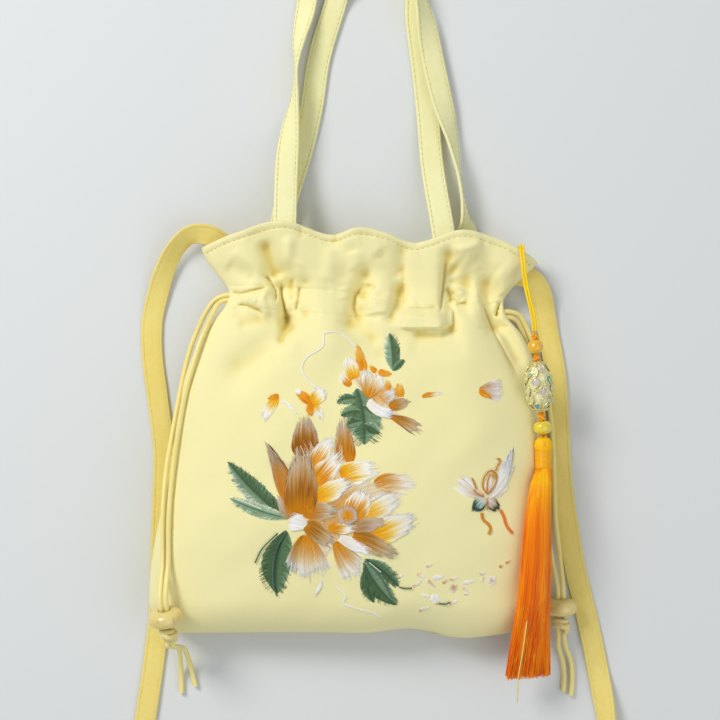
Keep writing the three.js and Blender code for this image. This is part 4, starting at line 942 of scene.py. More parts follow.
hookX = 0.886 * halfWidth
hookY = float(rimY(acrossAt(hookX, rimTop - 12)))
hookZ = float(frontZ(hookX, hookY - 2, False))
for letter, hand in (("a", 1), ("b", -1)):
    aside, r, wall = hand * charmSet["pitch"] / 2, charmSet["cord"] / 2, pouch["wall"]
    route = [
        (hookX + aside - 3, hookY - 9, hookZ - wall - 5), (hookX + aside - 1, hookY - 3, hookZ - wall - 3),
        (hookX + aside, hookY + 1.8 + r, hookZ - wall / 2), (hookX + aside + 0.3, hookY - 3, hookZ + r + 2.7),
        (hookX + aside + 2, hookY - 20, (hookZ + charmTop[2]) / 2 + 1.4),
        (charmTop[0] + aside - 0.5, charmTop[1] + 8, charmTop[2] + 0.4),
        (charmTop[0] + aside, charmTop[1] + 1, charmTop[2]),
    ]
    line = curveThrough(route, 6) / 1000
    name = f"charm_hanger_{letter}"
    piece = cording(name, [line], charmSet["cord"] / 2, 3, threadLook, "charm_cord", f"charm_cord_{letter}")
    cords[name] = {"piece": piece, "line": line, "diameter": charmSet["cord"] / 1000, "end": "knot"}


def trefoil(at, way, size, turn=0.0):
    t = np.linspace(0, 2 * math.pi, 30, endpoint=False)
    x, y, z = np.sin(t) + 2 * np.sin(2 * t), np.cos(t) - 2 * np.cos(2 * t), -np.sin(3 * t)
    c, s = math.cos(turn), math.sin(turn)
    beside = np.array([c, 0, s])
    out = np.cross(beside, way)
    scale = size / 6
    x, y, z = x * scale, y * scale, z * scale * 1.3
    return (at + np.outer(x, beside) + np.outer(y, way) + np.outer(z, out)) / 1000


knots = [trefoil(onCharm(share), charmWay, size, turn) for share, size, turn in
         ((0.032, 3.4, 0.0), (0.235, 3.6, 0.4), (0.775, 4.0, 0.1), (0.805, 3.6, 0.9))]
cording("charm_knots", knots, 0.6, 2, orangeLook, "charm_cord", closed=True)
t = np.linspace(0, 0.985, 90)
strands = [(charmTop + np.outer(t, charmRun) + np.outer(0.45 * np.cos(t * 70 + turn), (1, 0, 0))
            + np.outer(0.45 * np.sin(t * 70 + turn), (0, 0, 1))) / 1000 for turn in (0, math.pi)]
headTop = charmFoot
loopFrom = onCharm(0.95)  # the thread's loop goes over the tassel's head
for hand in (-1, 1):
    strands.append(curveThrough([
        loopFrom + (0.3 * hand, 0, 0.5), (loopFrom + headTop) / 2 + (1.1 * hand, 0, 1.0),
        headTop + (0.4 * hand, -2.2, 4.2), headTop + (0.1 * hand, -4.4, 4.9),
    ], 6) / 1000)
cording("charm_strands", strands, 0.5, 2, orangeLook, "charm_cord", "charm_thread")


def amber(name, dark, light, deep):
    look = Look(name, Roughness=0.12, Coat_Weight=1.0, Coat_Roughness=0.04, Specular_IOR_Level=0.6,
                Subsurface_Weight=0.25, Subsurface_Scale=0.003)
    at = look.place()
    cloud = look.noise(at, 190, 4, 0.6)
    streak = look.noise(look.stretch(at, (1.0, 0.5, 1.0)), 520, 3, 0.6)
    body = look.blend(cloud, srgb(dark), srgb(light))
    look.feed("Base Color", look.blend(((streak - 0.55) * 4.0).clamped(0, 0.6), body, srgb(deep)))
    look.feed("Normal", look.bump(cloud, 0.0001, 0.1))
    return look


topProfile = ovalProfile(charmSet["bead"], charmSet["bead"] * 0.92, charmSet["bore"])
spun("amber_bead_top", topProfile, onCharm(charmSet["topBead"]), -charmWay,
     amber("amberOrange", "eda60e", "fccd28", "dc8c08"), "amber", "charm_bead_top", steps=36)
lowProfile = ovalProfile(charmSet["lowWide"], charmSet["lowLength"], charmSet["bore"], 20, 2.5)
spun("amber_bead_low", lowProfile, onCharm(charmSet["lowBead"]), -charmWay,
     amber("amberLemon", "e2c414", "f6e040", "cfae0c"), "amber", "charm_bead_low", steps=36)

# Openwork bead: a pale lining, petal-shaped gilt loops and scrolls on it, and enamel in some petals.
openAxis = -charmWay
openSide = np.cross(openAxis, (0, 0, 1))
openSide /= np.linalg.norm(openSide)
openUp = np.cross(openSide, openAxis)
openAt = onCharm(charmSet["openBead"])


def onOpenBead(turn, high, out=0.0):
    # turn 0 faces up, in radians, and high runs from -1 to 1 along the bead
    turn, high = np.asarray(turn, float), np.clip(np.asarray(high, float), -0.985, 0.985)
    r = charmSet["openDiameter"] / 2 * (1 - np.abs(high) ** 2.2) ** (1 / 2.2) + out
    r = np.maximum(r, 1.5)
    return (openAt + np.multiply.outer(r * np.sin(turn), openSide) + np.multiply.outer(r * np.cos(turn), openUp)
            + np.multiply.outer(high * charmSet["openLength"] / 2, openAxis))


giltLook = Look("paleGilt", Metallic=0.55, Roughness=0.28)
giltTone = giltLook.noise(giltLook.place(), 700, 3)
giltLook.feed("Base Color", giltLook.blend(giltTone, srgb("e0cf70"), srgb("fbf6cc")))
giltLook.feed("Roughness", giltTone * 0.25 + 0.18)
liningLook = Look("openworkLining", Roughness=0.45, Coat_Weight=0.3, Specular_IOR_Level=0.5)
liningTone = liningLook.noise(liningLook.place(), 420, 3, 0.7)
liningStops = ((0.3, "c9b85a"), (0.45, "e6dc98"), (0.6, "f4f0c8"), (0.72, "cfe0b4"))
liningLook.feed("Base Color", liningLook.ramp(liningStops, liningTone))
liningLook.feed("Normal", liningLook.bump(liningTone, 0.0004, 0.6))
liningProfile = [(r * 0.9, h * 0.93) for r, h in
                 ovalProfile(charmSet["openDiameter"], charmSet["openLength"], 3.0, 26, 2.2)]
spun("openwork_lining", liningProfile, openAt, openAxis, liningLook, "gilt", steps=40)

petalSet = [  # turn, height, half width in radians, half length in shares, lean, colour
    (0.25, 0.74, 0.26, 0.13, 0.2, "c3b4c4"), (-0.33, 0.2, 0.26, 0.15, 0.1, "c9bcc6"),
    (0.2, -0.16, 0.26, 0.15, -0.2, "c3b3c6"), (0.78, 0.24, 0.27, 0.15, 0.1, "4fa694"),
    (1.02, -0.58, 0.28, 0.11, -0.3, "4fa694"), (-0.45, -0.74, 0.3, 0.1, 0.3, "3f9c9c"),
    (1.15, -0.08, 0.2, 0.13, 0.0, "cdbfc9"), (-0.9, 0.55, 0.26, 0.12, 0.3, "8fb890"),
    (-1.1, -0.1, 0.26, 0.14, -0.1, "cfd7a0"), (-0.95, -0.5, 0.26, 0.12, 0.2, "dcdca4"),
    (0.3, -0.55, 0.26, 0.13, 0.1, "d9d79c"), (-0.35, 0.6, 0.22, 0.13, -0.3, "dfe0b0"),
]
pick = random.Random(31)
for row in range(5):
    for k in range(4):
        petalSet.append((1.75 + k * 0.92 + (row % 2) * 0.45, 0.72 - row * 0.36, 0.27, 0.13,
                         pick.uniform(-0.3, 0.3), pick.choice(["c9bcc6", "4fa694", "8fb890", "dcdca4"])))
enamelLook = Look("petalEnamel", Roughness=0.22, Coat_Weight=0.5, Coat_Roughness=0.08)
enamelTone = enamelLook.attribute("tone")
enamelGrain = enamelLook.noise(enamelLook.place(), 900, 2)
enamelLook.feed("Base Color", enamelLook.blend((enamelGrain - 0.35) * 0.6, enamelTone, srgb("f1f1e4")))


def addPatch(mesh, columns, rowCount, place):
    # a grid laid out by a function of its two shares, which also gives each point its colour
    made = bmesh.ops.create_grid(mesh, x_segments=columns, y_segments=rowCount, size=0.5)["verts"]
    flat = np.array([vert.co for vert in made])
    spots, tones = place(flat[:, 0] + 0.5, flat[:, 1] + 0.5)
    layer = mesh.verts.layers.float_color["tone"]
    for vert, spot, tone in zip(made, spots / 1000, tones):
        vert.co = spot
        vert[layer] = (*tone, 1.0)


enamel = bmesh.new()
enamel.verts.layers.float_color.new("tone")
loopWires, scrollWires = [], []
for turn, high, wide, long, lean, colour in petalSet:
    ring = np.linspace(0, 2 * math.pi, 16, endpoint=False)
    swell = 0.8 + 0.2 * np.cos(ring)
    wide, long = wide * 1.3, long * 1.2
    loopWires.append(onOpenBead(turn + wide * (swell * np.sin(ring) + lean * 0.5 * np.cos(ring)),
                                high + long * np.cos(ring), 0.05) / 1000)

    def petalPlace(u, v, at=(turn, high, wide, long, lean), colour=colour):
        angle, r = (u * 2 - 1), (v * 2 - 1)
        half = np.sqrt(np.maximum(0, 1 - r * r)) * (0.8 + 0.2 * r)
        rise = -0.35 + 0.45 * np.sqrt(np.maximum(0, (1 - angle**2) * (1 - r**2)))
        spots = onOpenBead(at[0] + at[2] * half * angle + at[4] * 0.5 * r * at[2], at[1] + at[3] * r, rise)
        return spots, np.tile(srgb(colour), (len(u), 1))

    addPatch(enamel, 6, 8, petalPlace)
bmesh.ops.recalc_face_normals(enamel, faces=enamel.faces)
keep("enamel_petals", enamel, enamelLook, "gilt")
for k in range(26):
    # scrolls that wander over the bead between the petals
    turn, high, twist = 2 * math.pi * k / 26 * 3 + 0.3, -0.86 + 1.72 * ((k * 0.618) % 1), pick.choice([-1, 1])
    s = np.linspace(0, 1, 14)
    curl = s * 5.2 * twist + k
    size = 1 - 0.75 * s
    spots = onOpenBead(turn + 0.34 * size * np.sin(curl), high + 0.15 * size * np.cos(curl), 0.1)
    scrollWires.append(spots / 1000)
for high in (-0.93, -0.86, 0.86, 0.93):
    around = np.linspace(0, 2 * math.pi, 20, endpoint=False)
    loopWires.append(onOpenBead(around, np.full(20, high), 0.1) / 1000)
cording("gilt_loops", loopWires, 0.36, 1, giltLook, "gilt", "filigree_bead", closed=True)
cording("gilt_scrolls", scrollWires, 0.27, 1, giltLook, "gilt")
print("charm made")

# Tassel: a skirt of threads round a core, a domed head and a wound band.
tasselSet = {"head": 9.4, "headLength": 17, "length": 115, "width": 27.4, "depth": 10, "threads": 560,
             "thread": 0.27, "steps": 15, "rings": 25, "domeThreads": 96, "turns": 25}
skirt = rows(
    "down drift wide deep tilt",
    (0.0, 0.0, 0.31, 0.82, 6), (0.03, -0.03, 0.38, 0.95, 12), (0.08, -0.07, 0.44, 1.0, 20),
    (0.22, -0.13, 0.56, 1.02, 30), (0.38, -0.155, 0.68, 1.0, 34), (0.52, -0.18, 0.75, 0.96, 35),
    (0.66, -0.21, 0.82, 0.92, 34), (0.8, -0.245, 0.9, 0.88, 31), (0.92, -0.265, 0.97, 0.82, 27),
    (1.0, -0.28, 1.0, 0.74, 24),
)


def restingZ(x, y, halfWide, halfDeep, tilt):
    angle = np.linspace(0, 2 * math.pi, 24, endpoint=False)
    a, b, c, s = halfWide * np.cos(angle), halfDeep * np.sin(angle), math.cos(tilt), math.sin(tilt)
    dx, dz = a * c + b * s, b * c - a * s
    height = np.where(np.abs(acrossAt(x + dx, y)) < 1, frontZ(x + dx, np.full(24, y), False) - dz, 0)
    return max(0.0, float(height.max())) + drawstring["fit"]


headEnd = headTop[1] - tasselSet["headLength"]
skirtRings = []
lowest = float(baseSeamY(0.93)) + pouch["corner"] * 0.7
ringPlaces = np.linspace(0, 1, tasselSet["rings"])
for down in ringPlaces:
    drift, wide, deep, tilt = (
        float(read(skirt, "down", name, down)) for name in ("drift", "wide", "deep", "tilt"))
    x, y = headTop[0] + tasselSet["width"] * drift, headEnd - tasselSet["length"] * down
    halfWide, halfDeep = tasselSet["width"] * wide / 2, tasselSet["depth"] * deep / 2
    tilt = math.radians(tilt)
    z = restingZ(x, max(y, lowest), halfWide * 1.12, halfDeep * 1.2, tilt) - 0.3 * max(0.0, lowest - y)
    skirtRings.append((x, y, z, halfWide, halfDeep, tilt))
skirtRings = np.array(skirtRings)


def inSkirt(angle, share, down):
    # a place in the skirt, by its angle round, its share of the way out and how far down it is
    x, y, z, halfWide, halfDeep, tilt = (np.interp(down, ringPlaces, column) for column in skirtRings.T)
    a, b = halfWide * np.cos(angle) * share, halfDeep * np.sin(angle) * share
    c, s = np.cos(tilt), np.sin(tilt)
    return np.stack([x + a * c + b * s, y + 0 * a, z + b * c - a * s], -1)


silkLook = Look("tasselSilk", Roughness=0.42, Specular_IOR_Level=0.25)
silkAt = silkLook.place()
silkDown = (silkAt.part("Y") * -1.0 + headEnd / 1000) / (tasselSet["length"] / 1000)
silkStreak = silkLook.noise(silkLook.stretch(silkAt, (1.0, 0.03, 1.0)), 620, 2, 0.6)
silkBand = silkLook.noise(silkLook.stretch(silkAt, (1.0, 0.06, 1.0)), 150, 2, 0.5)
silkStops = ((0.0, "ffc400"), (0.12, "ffae00"), (0.25, "ff9400"), (0.5, "ff8600"), (1.0, "ff9000"))
silkBase = silkLook.ramp(silkStops, silkDown + (silkStreak - 0.5) * 0.35)
silkDark = silkLook.blend(((0.58 - silkBand) * 4.5).clamped(0, 0.65), silkBase, srgb("ee5c00"))
silkShine = ((silkStreak - 0.53) * 4.0).clamped(0, 0.6)
silkLook.feed("Base Color", silkLook.blend(silkShine, silkDark, srgb("ffae14")))
headLook = twoTone("tasselHead", "ffb400", "ffd400", 420, Roughness=0.36, Specular_IOR_Level=0.3)
wrapLook = twoTone("tasselBand", "f59c00", "ffc800", 900, stretch=(0.2, 2.0, 0.2), Roughness=0.28,
                   Specular_IOR_Level=0.5)

pick = random.Random(17)
down = np.linspace(0, 1, tasselSet["steps"])
skirtLines = []
for k in range(tasselSet["threads"]):
    angle = 2 * math.pi * (k + pick.random()) / tasselSet["threads"] * 3 % (2 * math.pi)
    share = 1 - 0.12 * pick.random() if k % 4 else pick.uniform(0.4, 0.9)
    wander = 0.05 * np.sin(down * pick.uniform(3, 8) + pick.uniform(0, 6)) * down
    lock = 0.045 * math.cos(angle * 9) * np.minimum(1, down * 3)
    line = inSkirt(angle + wander, share + lock, down)
    line[:, 1] += down**4 * pick.uniform(-2.2, 2.2) + 0.5 * pick.random()
    skirtLines.append(line / 1000)
cording("tassel_skirt", skirtLines, tasselSet["thread"], 0, silkLook, "silk", "tassel")


def corePlace(u, v):
    share = 0.86 * np.where(v > 0.995, 0.02, 1)
    return inSkirt(2 * math.pi * u, share, np.clip(v, 0, 1))


surfaceGrid("tassel_core", 30, 20, corePlace, silkLook, "silk")
headRadius = tasselSet["head"] / 2


def onHead(out, angle, fall):
    # a place on the head, so far out from its middle line and below its top
    return (headTop + np.stack([out * np.cos(angle), -fall, out * np.sin(angle)], 1)) / 1000


s = np.linspace(0, 1, 12)
domeStops = (0, 0.1, 0.3, 0.5, 0.66, 0.8, 1)
out = headRadius * np.interp(s, domeStops, (0.16, 0.52, 0.84, 0.98, 1.02, 0.98, 0.9))
fall = np.interp(s, domeStops, (0.2, -0.1, 1.2, 2.9, 4.6, 5.6, 6.6))
count = tasselSet["domeThreads"]
dome = [onHead(out, 2 * math.pi * k / count, fall) for k in range(count)]
cording("tassel_head", dome, 0.26, 1, headLook, "silk")
turns = np.linspace(0, 1, tasselSet["turns"] * 20)
wrap = onHead(headRadius * 0.93 + 0.06 * np.sin(turns * 90), turns * 2 * math.pi * tasselSet["turns"],
              5.5 + turns * (tasselSet["headLength"] - 5.4))
cording("tassel_wrap", [wrap], 0.32, 1, wrapLook, "silk")
coreProfile = [(0.05, 0), (3.0, 0.6), (4.2, -1.6), (4.3, -4.5), (3.95, -6), (3.95, -17.4), (0.05, -17.4)]
spun("tassel_head_core", coreProfile, headTop + (0, -0.9, 0), (0, 1, 0), headLook, "silk", steps=28)
stray = curveThrough([
    inSkirt(2.2, 1.02, 0.72) + (0, 0, 0.3), inSkirt(2.15, 1.05, 0.88) + (0, 0, 0.5),
    inSkirt(2.15, 1.04, 0.99) + (-0.4, -2, 0), inSkirt(2.15, 1.0, 1.0) + (-0.3, -9, -3.0),
    inSkirt(2.15, 1.0, 1.0) + (-0.3, -16, -8),
], 8) / 1000
paleLook = twoTone("paleThread", "f3d667", "f8e79c", 300, Roughness=0.4)
cording("stray_thread", [stray], 0.34, 1, paleLook, "silk")
print("tassel made")

# Stitches: short raised threads along the rim and the bands.
stitchSet = {"long": 2.0, "gap": 1.1, "radius": 0.22, "bandLong": 2.2, "bandGap": 1.0, "bandRadius": 0.14,
             "edge": 1.5}
# The rim and handle stitches are darker than the cloth's yellow: partly the thread's own colour, partly painted
# shade for the small pits along the seams.
stitchAndPitShadeLook = twoTone("stitchThreadAndPaintedShade", "cdb95a", "dccb78", 240, Roughness=0.5, Sheen_Weight=0.2)
strapStitchLook = twoTone("strapStitchThread", "e6d077", "f3e396", 240, Roughness=0.5, Sheen_Weight=0.2)


def dashes(path, long, gap):
    # so many short lines along a path, in millimetres
    path = np.asarray(path)
    before = np.concatenate([[0], np.cumsum(np.linalg.norm(np.diff(path, axis=0), axis=1))])
    made = []
    at = gap
    while at + long < before[-1]:
        stations = np.array([at, at + long * 0.3, at + long * 0.7, at + long])
        spots = np.stack([np.interp(stations, before, path[:, i]) for i in range(3)], 1)
        made.append(spots)
        at += long + gap
    return made


def sunkEnds(lines, into):
    # stitches go down into the cloth at both of their ends
    out = []
    for line in lines:
        line = line.copy()
        line[0] += into
        line[-1] += into
        out.append(line / 1000)
    return out


s = np.linspace(-0.985, 0.985, 500)
y = rimY(s) - 3.7
left, right = sides(y)
x = left + (right - left) * (s + 1) / 2
hemPath = np.stack([x, y, frontZ(x, y) + 0.12], 1)
clothStitches = sunkEnds(dashes(hemPath, stitchSet["long"], stitchSet["gap"]), np.array([0, 0, -0.35]))
cording("rim_stitches", clothStitches, stitchSet["radius"], 1, stitchAndPitShadeLook, "cloth")
for key, band in bandPieces.items():
    lines = []
    for hand in (-1, 1):
        for face in (-1, 1):
            path = (band["middle"]
                    + band["across"] * hand * (band["width"] / 2 - 0.25 - stitchSet["edge"])
                    + band["through"] * face * (band["thickness"] / 2 - 0.02))
            lines += sunkEnds(dashes(path, stitchSet["bandLong"], stitchSet["bandGap"]), np.zeros(3))
    cording(f"{key}_stitches", lines, stitchSet["bandRadius"], 0,
            strapStitchLook if key == "strap" else stitchAndPitShadeLook, "band")
print("stitches made")

# Embroidery: padded satin stitch in silk. Each petal is a patch of ribs, coloured along its threads.
stitchWork = {"pixel": 0.55, "pitch": 0.6, "rib": 0.06, "lift": 0.1, "layer": 0.2, "dome": 0.22, "rows": 13,
              "jitter": 0.13, "loose": 0.085, "tuck": -0.15, "leafColumns": 14, "leafDome": 0.3}
toneSets = {
    "under": ((0, "dd9a40"), (0.5, "e8cc98"), (1, "f4e8d0")),
    "rust": ((0, "b8660a"), (0.42, "a2600f"), (0.64, "b58238"), (0.84, "c7a684"), (1, "d8c6b2")),
    "brown": ((0, "d88e14"), (0.3, "cc8218"), (0.6, "bd8b48"), (0.85, "b69a74"), (1, "cfc0a8")),
    "amber": ((0, "de8c0c"), (0.2, "c8800c"), (0.44, "b06c1c"), (0.62, "bb9050"), (0.85, "c4a880"),
              (1, "d8c6aa")),
    "tawny": ((0, "dc8a10"), (0.36, "c87a08"), (0.6, "c49040"), (0.85, "c8aa80"), (1, "dacbb6")),
    "flame": ((0, "ec980c"), (0.36, "e69c20"), (0.54, "eaba68"), (0.72, "faeed2"), (1, "fffefa")),
    "gold": ((0, "f69c00"), (0.28, "f8b40c"), (0.46, "f8d468"), (0.66, "faf0cf"), (1, "fffefa")),
    "peach": ((0, "e8960c"), (0.2, "e89c20"), (0.42, "e2ae60"), (0.7, "e8d2a6"), (0.9, "faf1e0"),
              (1, "fffdf6")),
    "white": ((0, "f4ecdc"), (1, "ffffff")),
    "mauve": ((0, "c98c3c"), (0.4, "c09c74"), (1, "d2c2b0")),
    "stripe": ((0, "ca7e08"), (0.4, "cb8428"), (0.72, "c8a678"), (1, "eadccb")),
    "tan": ((0, "cf820c"), (0.38, "c18224"), (0.68, "c29c64"), (1, "d4c2a2")),
    "orange": ((0, "ee9208"), (1, "f4ac2c")),
    "honey": ((0, "f09c0c"), (0.5, "f0a428"), (1, "f6cc74")),
    "ray": ((0, "ea940c"), (0.4, "f0a81c"), (0.6, "cba986"), (1, "d9cbbb")),
    "lilac": ((0, "ea9a30"), (0.32, "e8c08c"), (0.6, "e0d0c0"), (1, "f4efea")),
    "blush": ((0, "e2a468"), (0.25, "eed6b8"), (1, "fffdf9")),
    "teal": ((0, "eeeee6"), (0.42, "c2d0c8"), (0.62, "4f7068"), (1, "2a453f")),
    "olive": ((0, "f2e2d4"), (0.5, "cfbca4"), (0.72, "665e40"), (1, "36341c")),
}
petalForms = {  # how fast the threads spread, how far they draw in again, how round the tip is
    "round": (0.34, 0.16, 0.45), "fan": (0.6, 0.0, 0.22), "point": (0.4, 0.8, 0.35), "bud": (0.24, 0.3, 0.52),
    "strip": (0.12, 0.15, 0.1),
}


def onFront(px, py, lift=0.0):
    # where picture pixels fall on the front cloth, in millimetres
    x, y = fromPicture(px, py, 36.0)
    for _ in range(2):
        x, y = fromPicture(px, py, frontZ(x, y, False))
    return np.stack([x, y, frontZ(x, y) + lift], -1)


def rampOf(stops, at):
    colours = np.array([srgb(text) for _, text in stops])
    return np.stack([np.interp(at, [stop for stop, _ in stops], colours[:, i]) for i in range(3)], -1)


def axisOf(base, tip):
    # the length from base to tip, and a function from measures along and across it to picture pixels
    base, tip = np.array(base, float), np.array(tip, float)
    long = np.linalg.norm(tip - base)
    way = (tip - base) / long

    def spot(along, across):
        return base[0] + way[0] * along - way[1] * across, base[1] + way[1] * along + way[0] * across

    return long, spot


def bowed(bend, v):
    return bend * 4 * v * (1 - v)


looseSilk = []  # stray threads: picture pixels, rise above the cloth and colour


def addPetal(mesh, pick, base, tip, wide, toneName, form="round", layer=0, bend=0.0, ruffle=0.0, dome=None):
    # wide and bend are in picture pixels, and bend sends the middle of the petal to its right
    long, spot = axisOf(base, tip)
    threadCount = max(4, round(wide * stitchWork["pixel"] / stitchWork["pitch"]))
    spread, draw, roundness = petalForms[form]
    reach = np.array([pick.gauss(0, 0.06) for _ in range(threadCount)])
    shade = np.array([1 + pick.uniform(-0.1, 0.07) for _ in range(threadCount)])
    shift = np.array([pick.uniform(-1, 1) for _ in range(threadCount)]) * stitchWork["jitter"]
    wave, phase = pick.uniform(5, 8), pick.uniform(0, 6)
    columns = threadCount * 2
    puff = stitchWork["dome"] if dome is None else dome
    ground = stitchWork["lift"] + layer * stitchWork["layer"]

    def aside(a, v):
        return a * wide / 2 * v**spread * (1 - draw * np.minimum(v, 1) ** 3) + bowed(bend, v)

    def place(u, v):
        column = np.clip(np.rint(u * columns).astype(int), 0, columns)
        ridge = column % 2
        thread = np.clip(column // 2, 0, threadCount - 1)
        other = np.clip(thread - 1, 0, threadCount - 1)
        a = 2 * u - 1
        length = np.where(ridge == 1, reach[thread], np.minimum(reach[thread], reach[other]) - 0.03)
        tipLine = (1 - roundness * np.abs(a) ** 3) * (1 + ruffle * np.sin(a * wave + phase)) + length
        swell = np.clip(np.sin(math.pi * np.clip(v, 0.02, 0.97)), 0, 1) ** 0.45
        edge = np.sqrt(np.maximum(0, 1 - a**2)) * swell
        rim = (column == 0) | (column == columns) | (v < 1e-6) | (v > 1 - 1e-6)
        spots = onFront(*spot(v * tipLine * long, aside(a, v)))
        lift = ground + puff * edge + stitchWork["rib"] * (2 * ridge - 1)
        spots[:, 2] += np.where(rim, stitchWork["tuck"], lift)
        tones = rampOf(toneSets[toneName], np.clip(v + shift[thread] * np.minimum(1, v * 3), 0, 1))
        # each thread keeps its own random tone, and the valleys between threads are painted 10% darker as shade
        tones = tones * (shade[thread] * np.where(ridge == 1, 1.0, 0.9))[:, None]
        return spots, np.clip(tones, 0, 1)

    addPatch(mesh, columns, stitchWork["rows"], place)
    # single threads that stray over the tip, and others that carry the base's colour outwards
    for _ in range(round(threadCount * 1.3)):
        a = pick.uniform(-0.96, 0.96)
        starts, ends = ((0.72, 0.88), (1.0, 1.1)) if pick.random() < 0.5 else ((0.1, 0.35), (0.5, 0.75))
        low, high = pick.uniform(*starts), pick.uniform(*ends)
        v = np.linspace(low, high, 4)
        px, py = spot(v * (1 - roundness * abs(a) ** 3) * long, aside(a, v))
        rise = ground + 0.1 + puff * (1 - a * a) ** 0.5 * np.array([0.4, 0.9, 0.8, 0.15])
        looseSilk.append((px, py, rise, rampOf(toneSets[toneName], 0.95 if high > 1 else low + 0.1)))


def addLeaf(mesh, pick, base, tip, wide, left, right, bend=0.0, layer=0, swell=(0.6, 0.8), slant=0.55):
    # two halves of slanting satin stitch beside a midrib; left and right are dark and pale tones
    long, spot = axisOf(base, tip)
    steps = max(24, round(long * stitchWork["pixel"] / stitchWork["pitch"] * 2))
    count = steps + 40
    ragged = np.array([pick.gauss(0, 0.05) for _ in range(count)])
    shade = np.array([1 + pick.uniform(-0.14, 0.1) for _ in range(count)])
    most = (swell[0] / (swell[0] + swell[1])) ** swell[0] * (swell[1] / (swell[0] + swell[1])) ** swell[1]
    dark = {-1: srgb(left[0]), 1: srgb(right[0])}
    pale = {-1: srgb(left[1]), 1: srgb(right[1])}
    vein = np.array(srgb("2c4630"))
    ground = stitchWork["lift"] + layer * stitchWork["layer"]

    def halfAt(v):
        return v ** swell[0] * (1 - v) ** swell[1] / most * wide / 2

    def place(u, v):
        a = 2 * u - 1
        row = np.rint(v * steps).astype(int)
        ridge = row % 2
        half = halfAt(v)
        along = np.clip(v * long + np.abs(a) * half * slant * (1 - v), 0, long * 1.02)
        across = a * half * (1 + ragged[np.clip(row, 0, count - 1)] * np.abs(a)) + bowed(bend, v)
        body = np.sqrt(np.maximum(0, 1 - a**2)) * (np.sin(math.pi * np.clip(v, 0.02, 0.98))) ** 0.4
        groove = 0.15 * np.exp(-((a / 0.1) ** 2))
        rim = (np.abs(a) > 0.999) | (v < 1e-6) | (v > 1 - 1e-6)
        lift = ground + stitchWork["leafDome"] * body - groove + stitchWork["rib"] * (2 * ridge - 1)
        spots = onFront(*spot(along, across))
        spots[:, 2] += np.where(rim, stitchWork["tuck"], lift)
        jitter = shade[np.clip(row, 0, count - 1)]
        edge = smooth(np.abs(a) + (jitter - 1) * 1.6, 0.45, 0.95)
        side = (a > 0)[:, None]
        low = np.where(side, dark[1], dark[-1])
        high = np.where(side, pale[1], pale[-1])
        tones = low + (high - low) * edge[:, None]
        tones = tones + (vein - tones) * np.exp(-((a / 0.12) ** 2))[:, None] * 0.8
        # each row keeps its own random tone, and the valleys between rows are painted 12% darker as shade
        return spots, np.clip(tones * (jitter * np.where(ridge == 1, 1.0, 0.88))[:, None], 0, 1)

    addPatch(mesh, stitchWork["leafColumns"], steps, place)
    for _ in range(round(long * 1.1)):
        # slanting threads that stray over the leaf's edges
        v, hand = pick.uniform(0.08, 0.93), pick.choice([-1, 1])
        a = np.linspace(pick.uniform(0.3, 0.7), pick.uniform(0.86, 1.06), 4)
        reach = a * halfAt(v)
        px, py = spot(v * long + reach * (slant + 0.35), hand * reach + bowed(bend, v))
        tone = np.array(pale[hand]) * 0.85 if pick.random() < 0.55 else np.array(dark[hand])
        looseSilk.append((px, py, ground + np.array([0.3, 0.32, 0.24, 0.08]), tone))


satinLook = Look("embroiderySilk", Roughness=0.55, Specular_IOR_Level=0.14)
satinTone = satinLook.attribute("tone")
satinGrain = satinLook.noise(satinLook.place(), 700, 3, 0.6)
satinDeep = satinLook.blend(1.0, satinTone, (0.72, 0.66, 0.62), "MULTIPLY")
satinShade = ((satinGrain - 0.5) * 0.9).clamped(0, 0.3)
satinLook.feed("Base Color", satinLook.blend(satinShade, satinTone, satinDeep))
satinLook.feed("Normal", satinLook.bump(satinGrain, 0.0001, 0.3))

peony = [  # base, tip, width, tones, form, layer, bend, ruffle
    ((305.4, 455), (305.4, 418.5), 33, "rust", "bud", 0, 0, 0.02),
    ((289, 503), (268, 446), 27, "brown", "point", 2, 3),
    ((301.4, 512), (302, 450), 39, "amber", "bud", 4, -1, 0.02),
    ((345.6, 462), (343, 421), 25, "tawny", "bud", 0, 0, 0.02),
    ((312, 469), (330.8, 438.5), 21, "flame", "round", 1, 0, 0.03),
    ((315, 482), (339.5, 456), 25, "flame", "round", 2, 0, 0.03),
    ((317, 498), (350.5, 481.5), 23, "gold", "round", 3, 0, 0.03),
    ((341, 477), (377.5, 468), 27, "gold", "round", 1, -1, 0.04),
    ((375, 486), (415, 484), 25, "peach", "round", 0, -2, 0.04),
    ((359, 517), (399, 498), 27, "gold", "round", 1, 1, 0.04),
    ((352, 518), (365, 491), 29, "flame", "round", 2, 0, 0.03),
    ((303.5, 511), (335.5, 511), 22, "stripe", "round", 3, 0, 0.02),
    ((329, 528.5), (355, 528), 13, "flame", "round", 4, 0, 0.03),
    ((306.5, 524.5), (333, 543.5), 21, "tan", "round", 4, 0, 0.02),
    ((305.4, 536), (308.5, 575), 44, "peach", "fan", 2, 0, 0.06),
    ((335, 543), (357, 575), 28, "peach", "fan", 2, 0, 0.05),
    ((340, 538), (372, 553), 14, "white", "round", 3, 0, 0.02),
    ((353, 528.5), (385, 521), 16, "mauve", "round", 4, 0, 0.02),
    ((371, 536), (415, 518.5), 29, "gold", "round", 2, 1, 0.04),
    ((354, 536), (395, 554), 22, "tan", "round", 3, 0, 0.03),
    ((290, 517), (279, 496), 16, "mauve", "bud", 1, 0, 0.02),
    ((308, 526), (289, 520.5), 19, "white", "fan", 3, 0, 0.02),
]
heart = (347.5, 515.5)
rays = []
for turn in np.linspace(0.3, 0.3 + 2 * math.pi, 7)[:-1]:
    tip = (heart[0] + 11 * math.cos(turn), heart[1] + 10 * math.sin(turn))
    rays.append((heart, tip, 13, "ray", "round", 5, 0, 0.02))
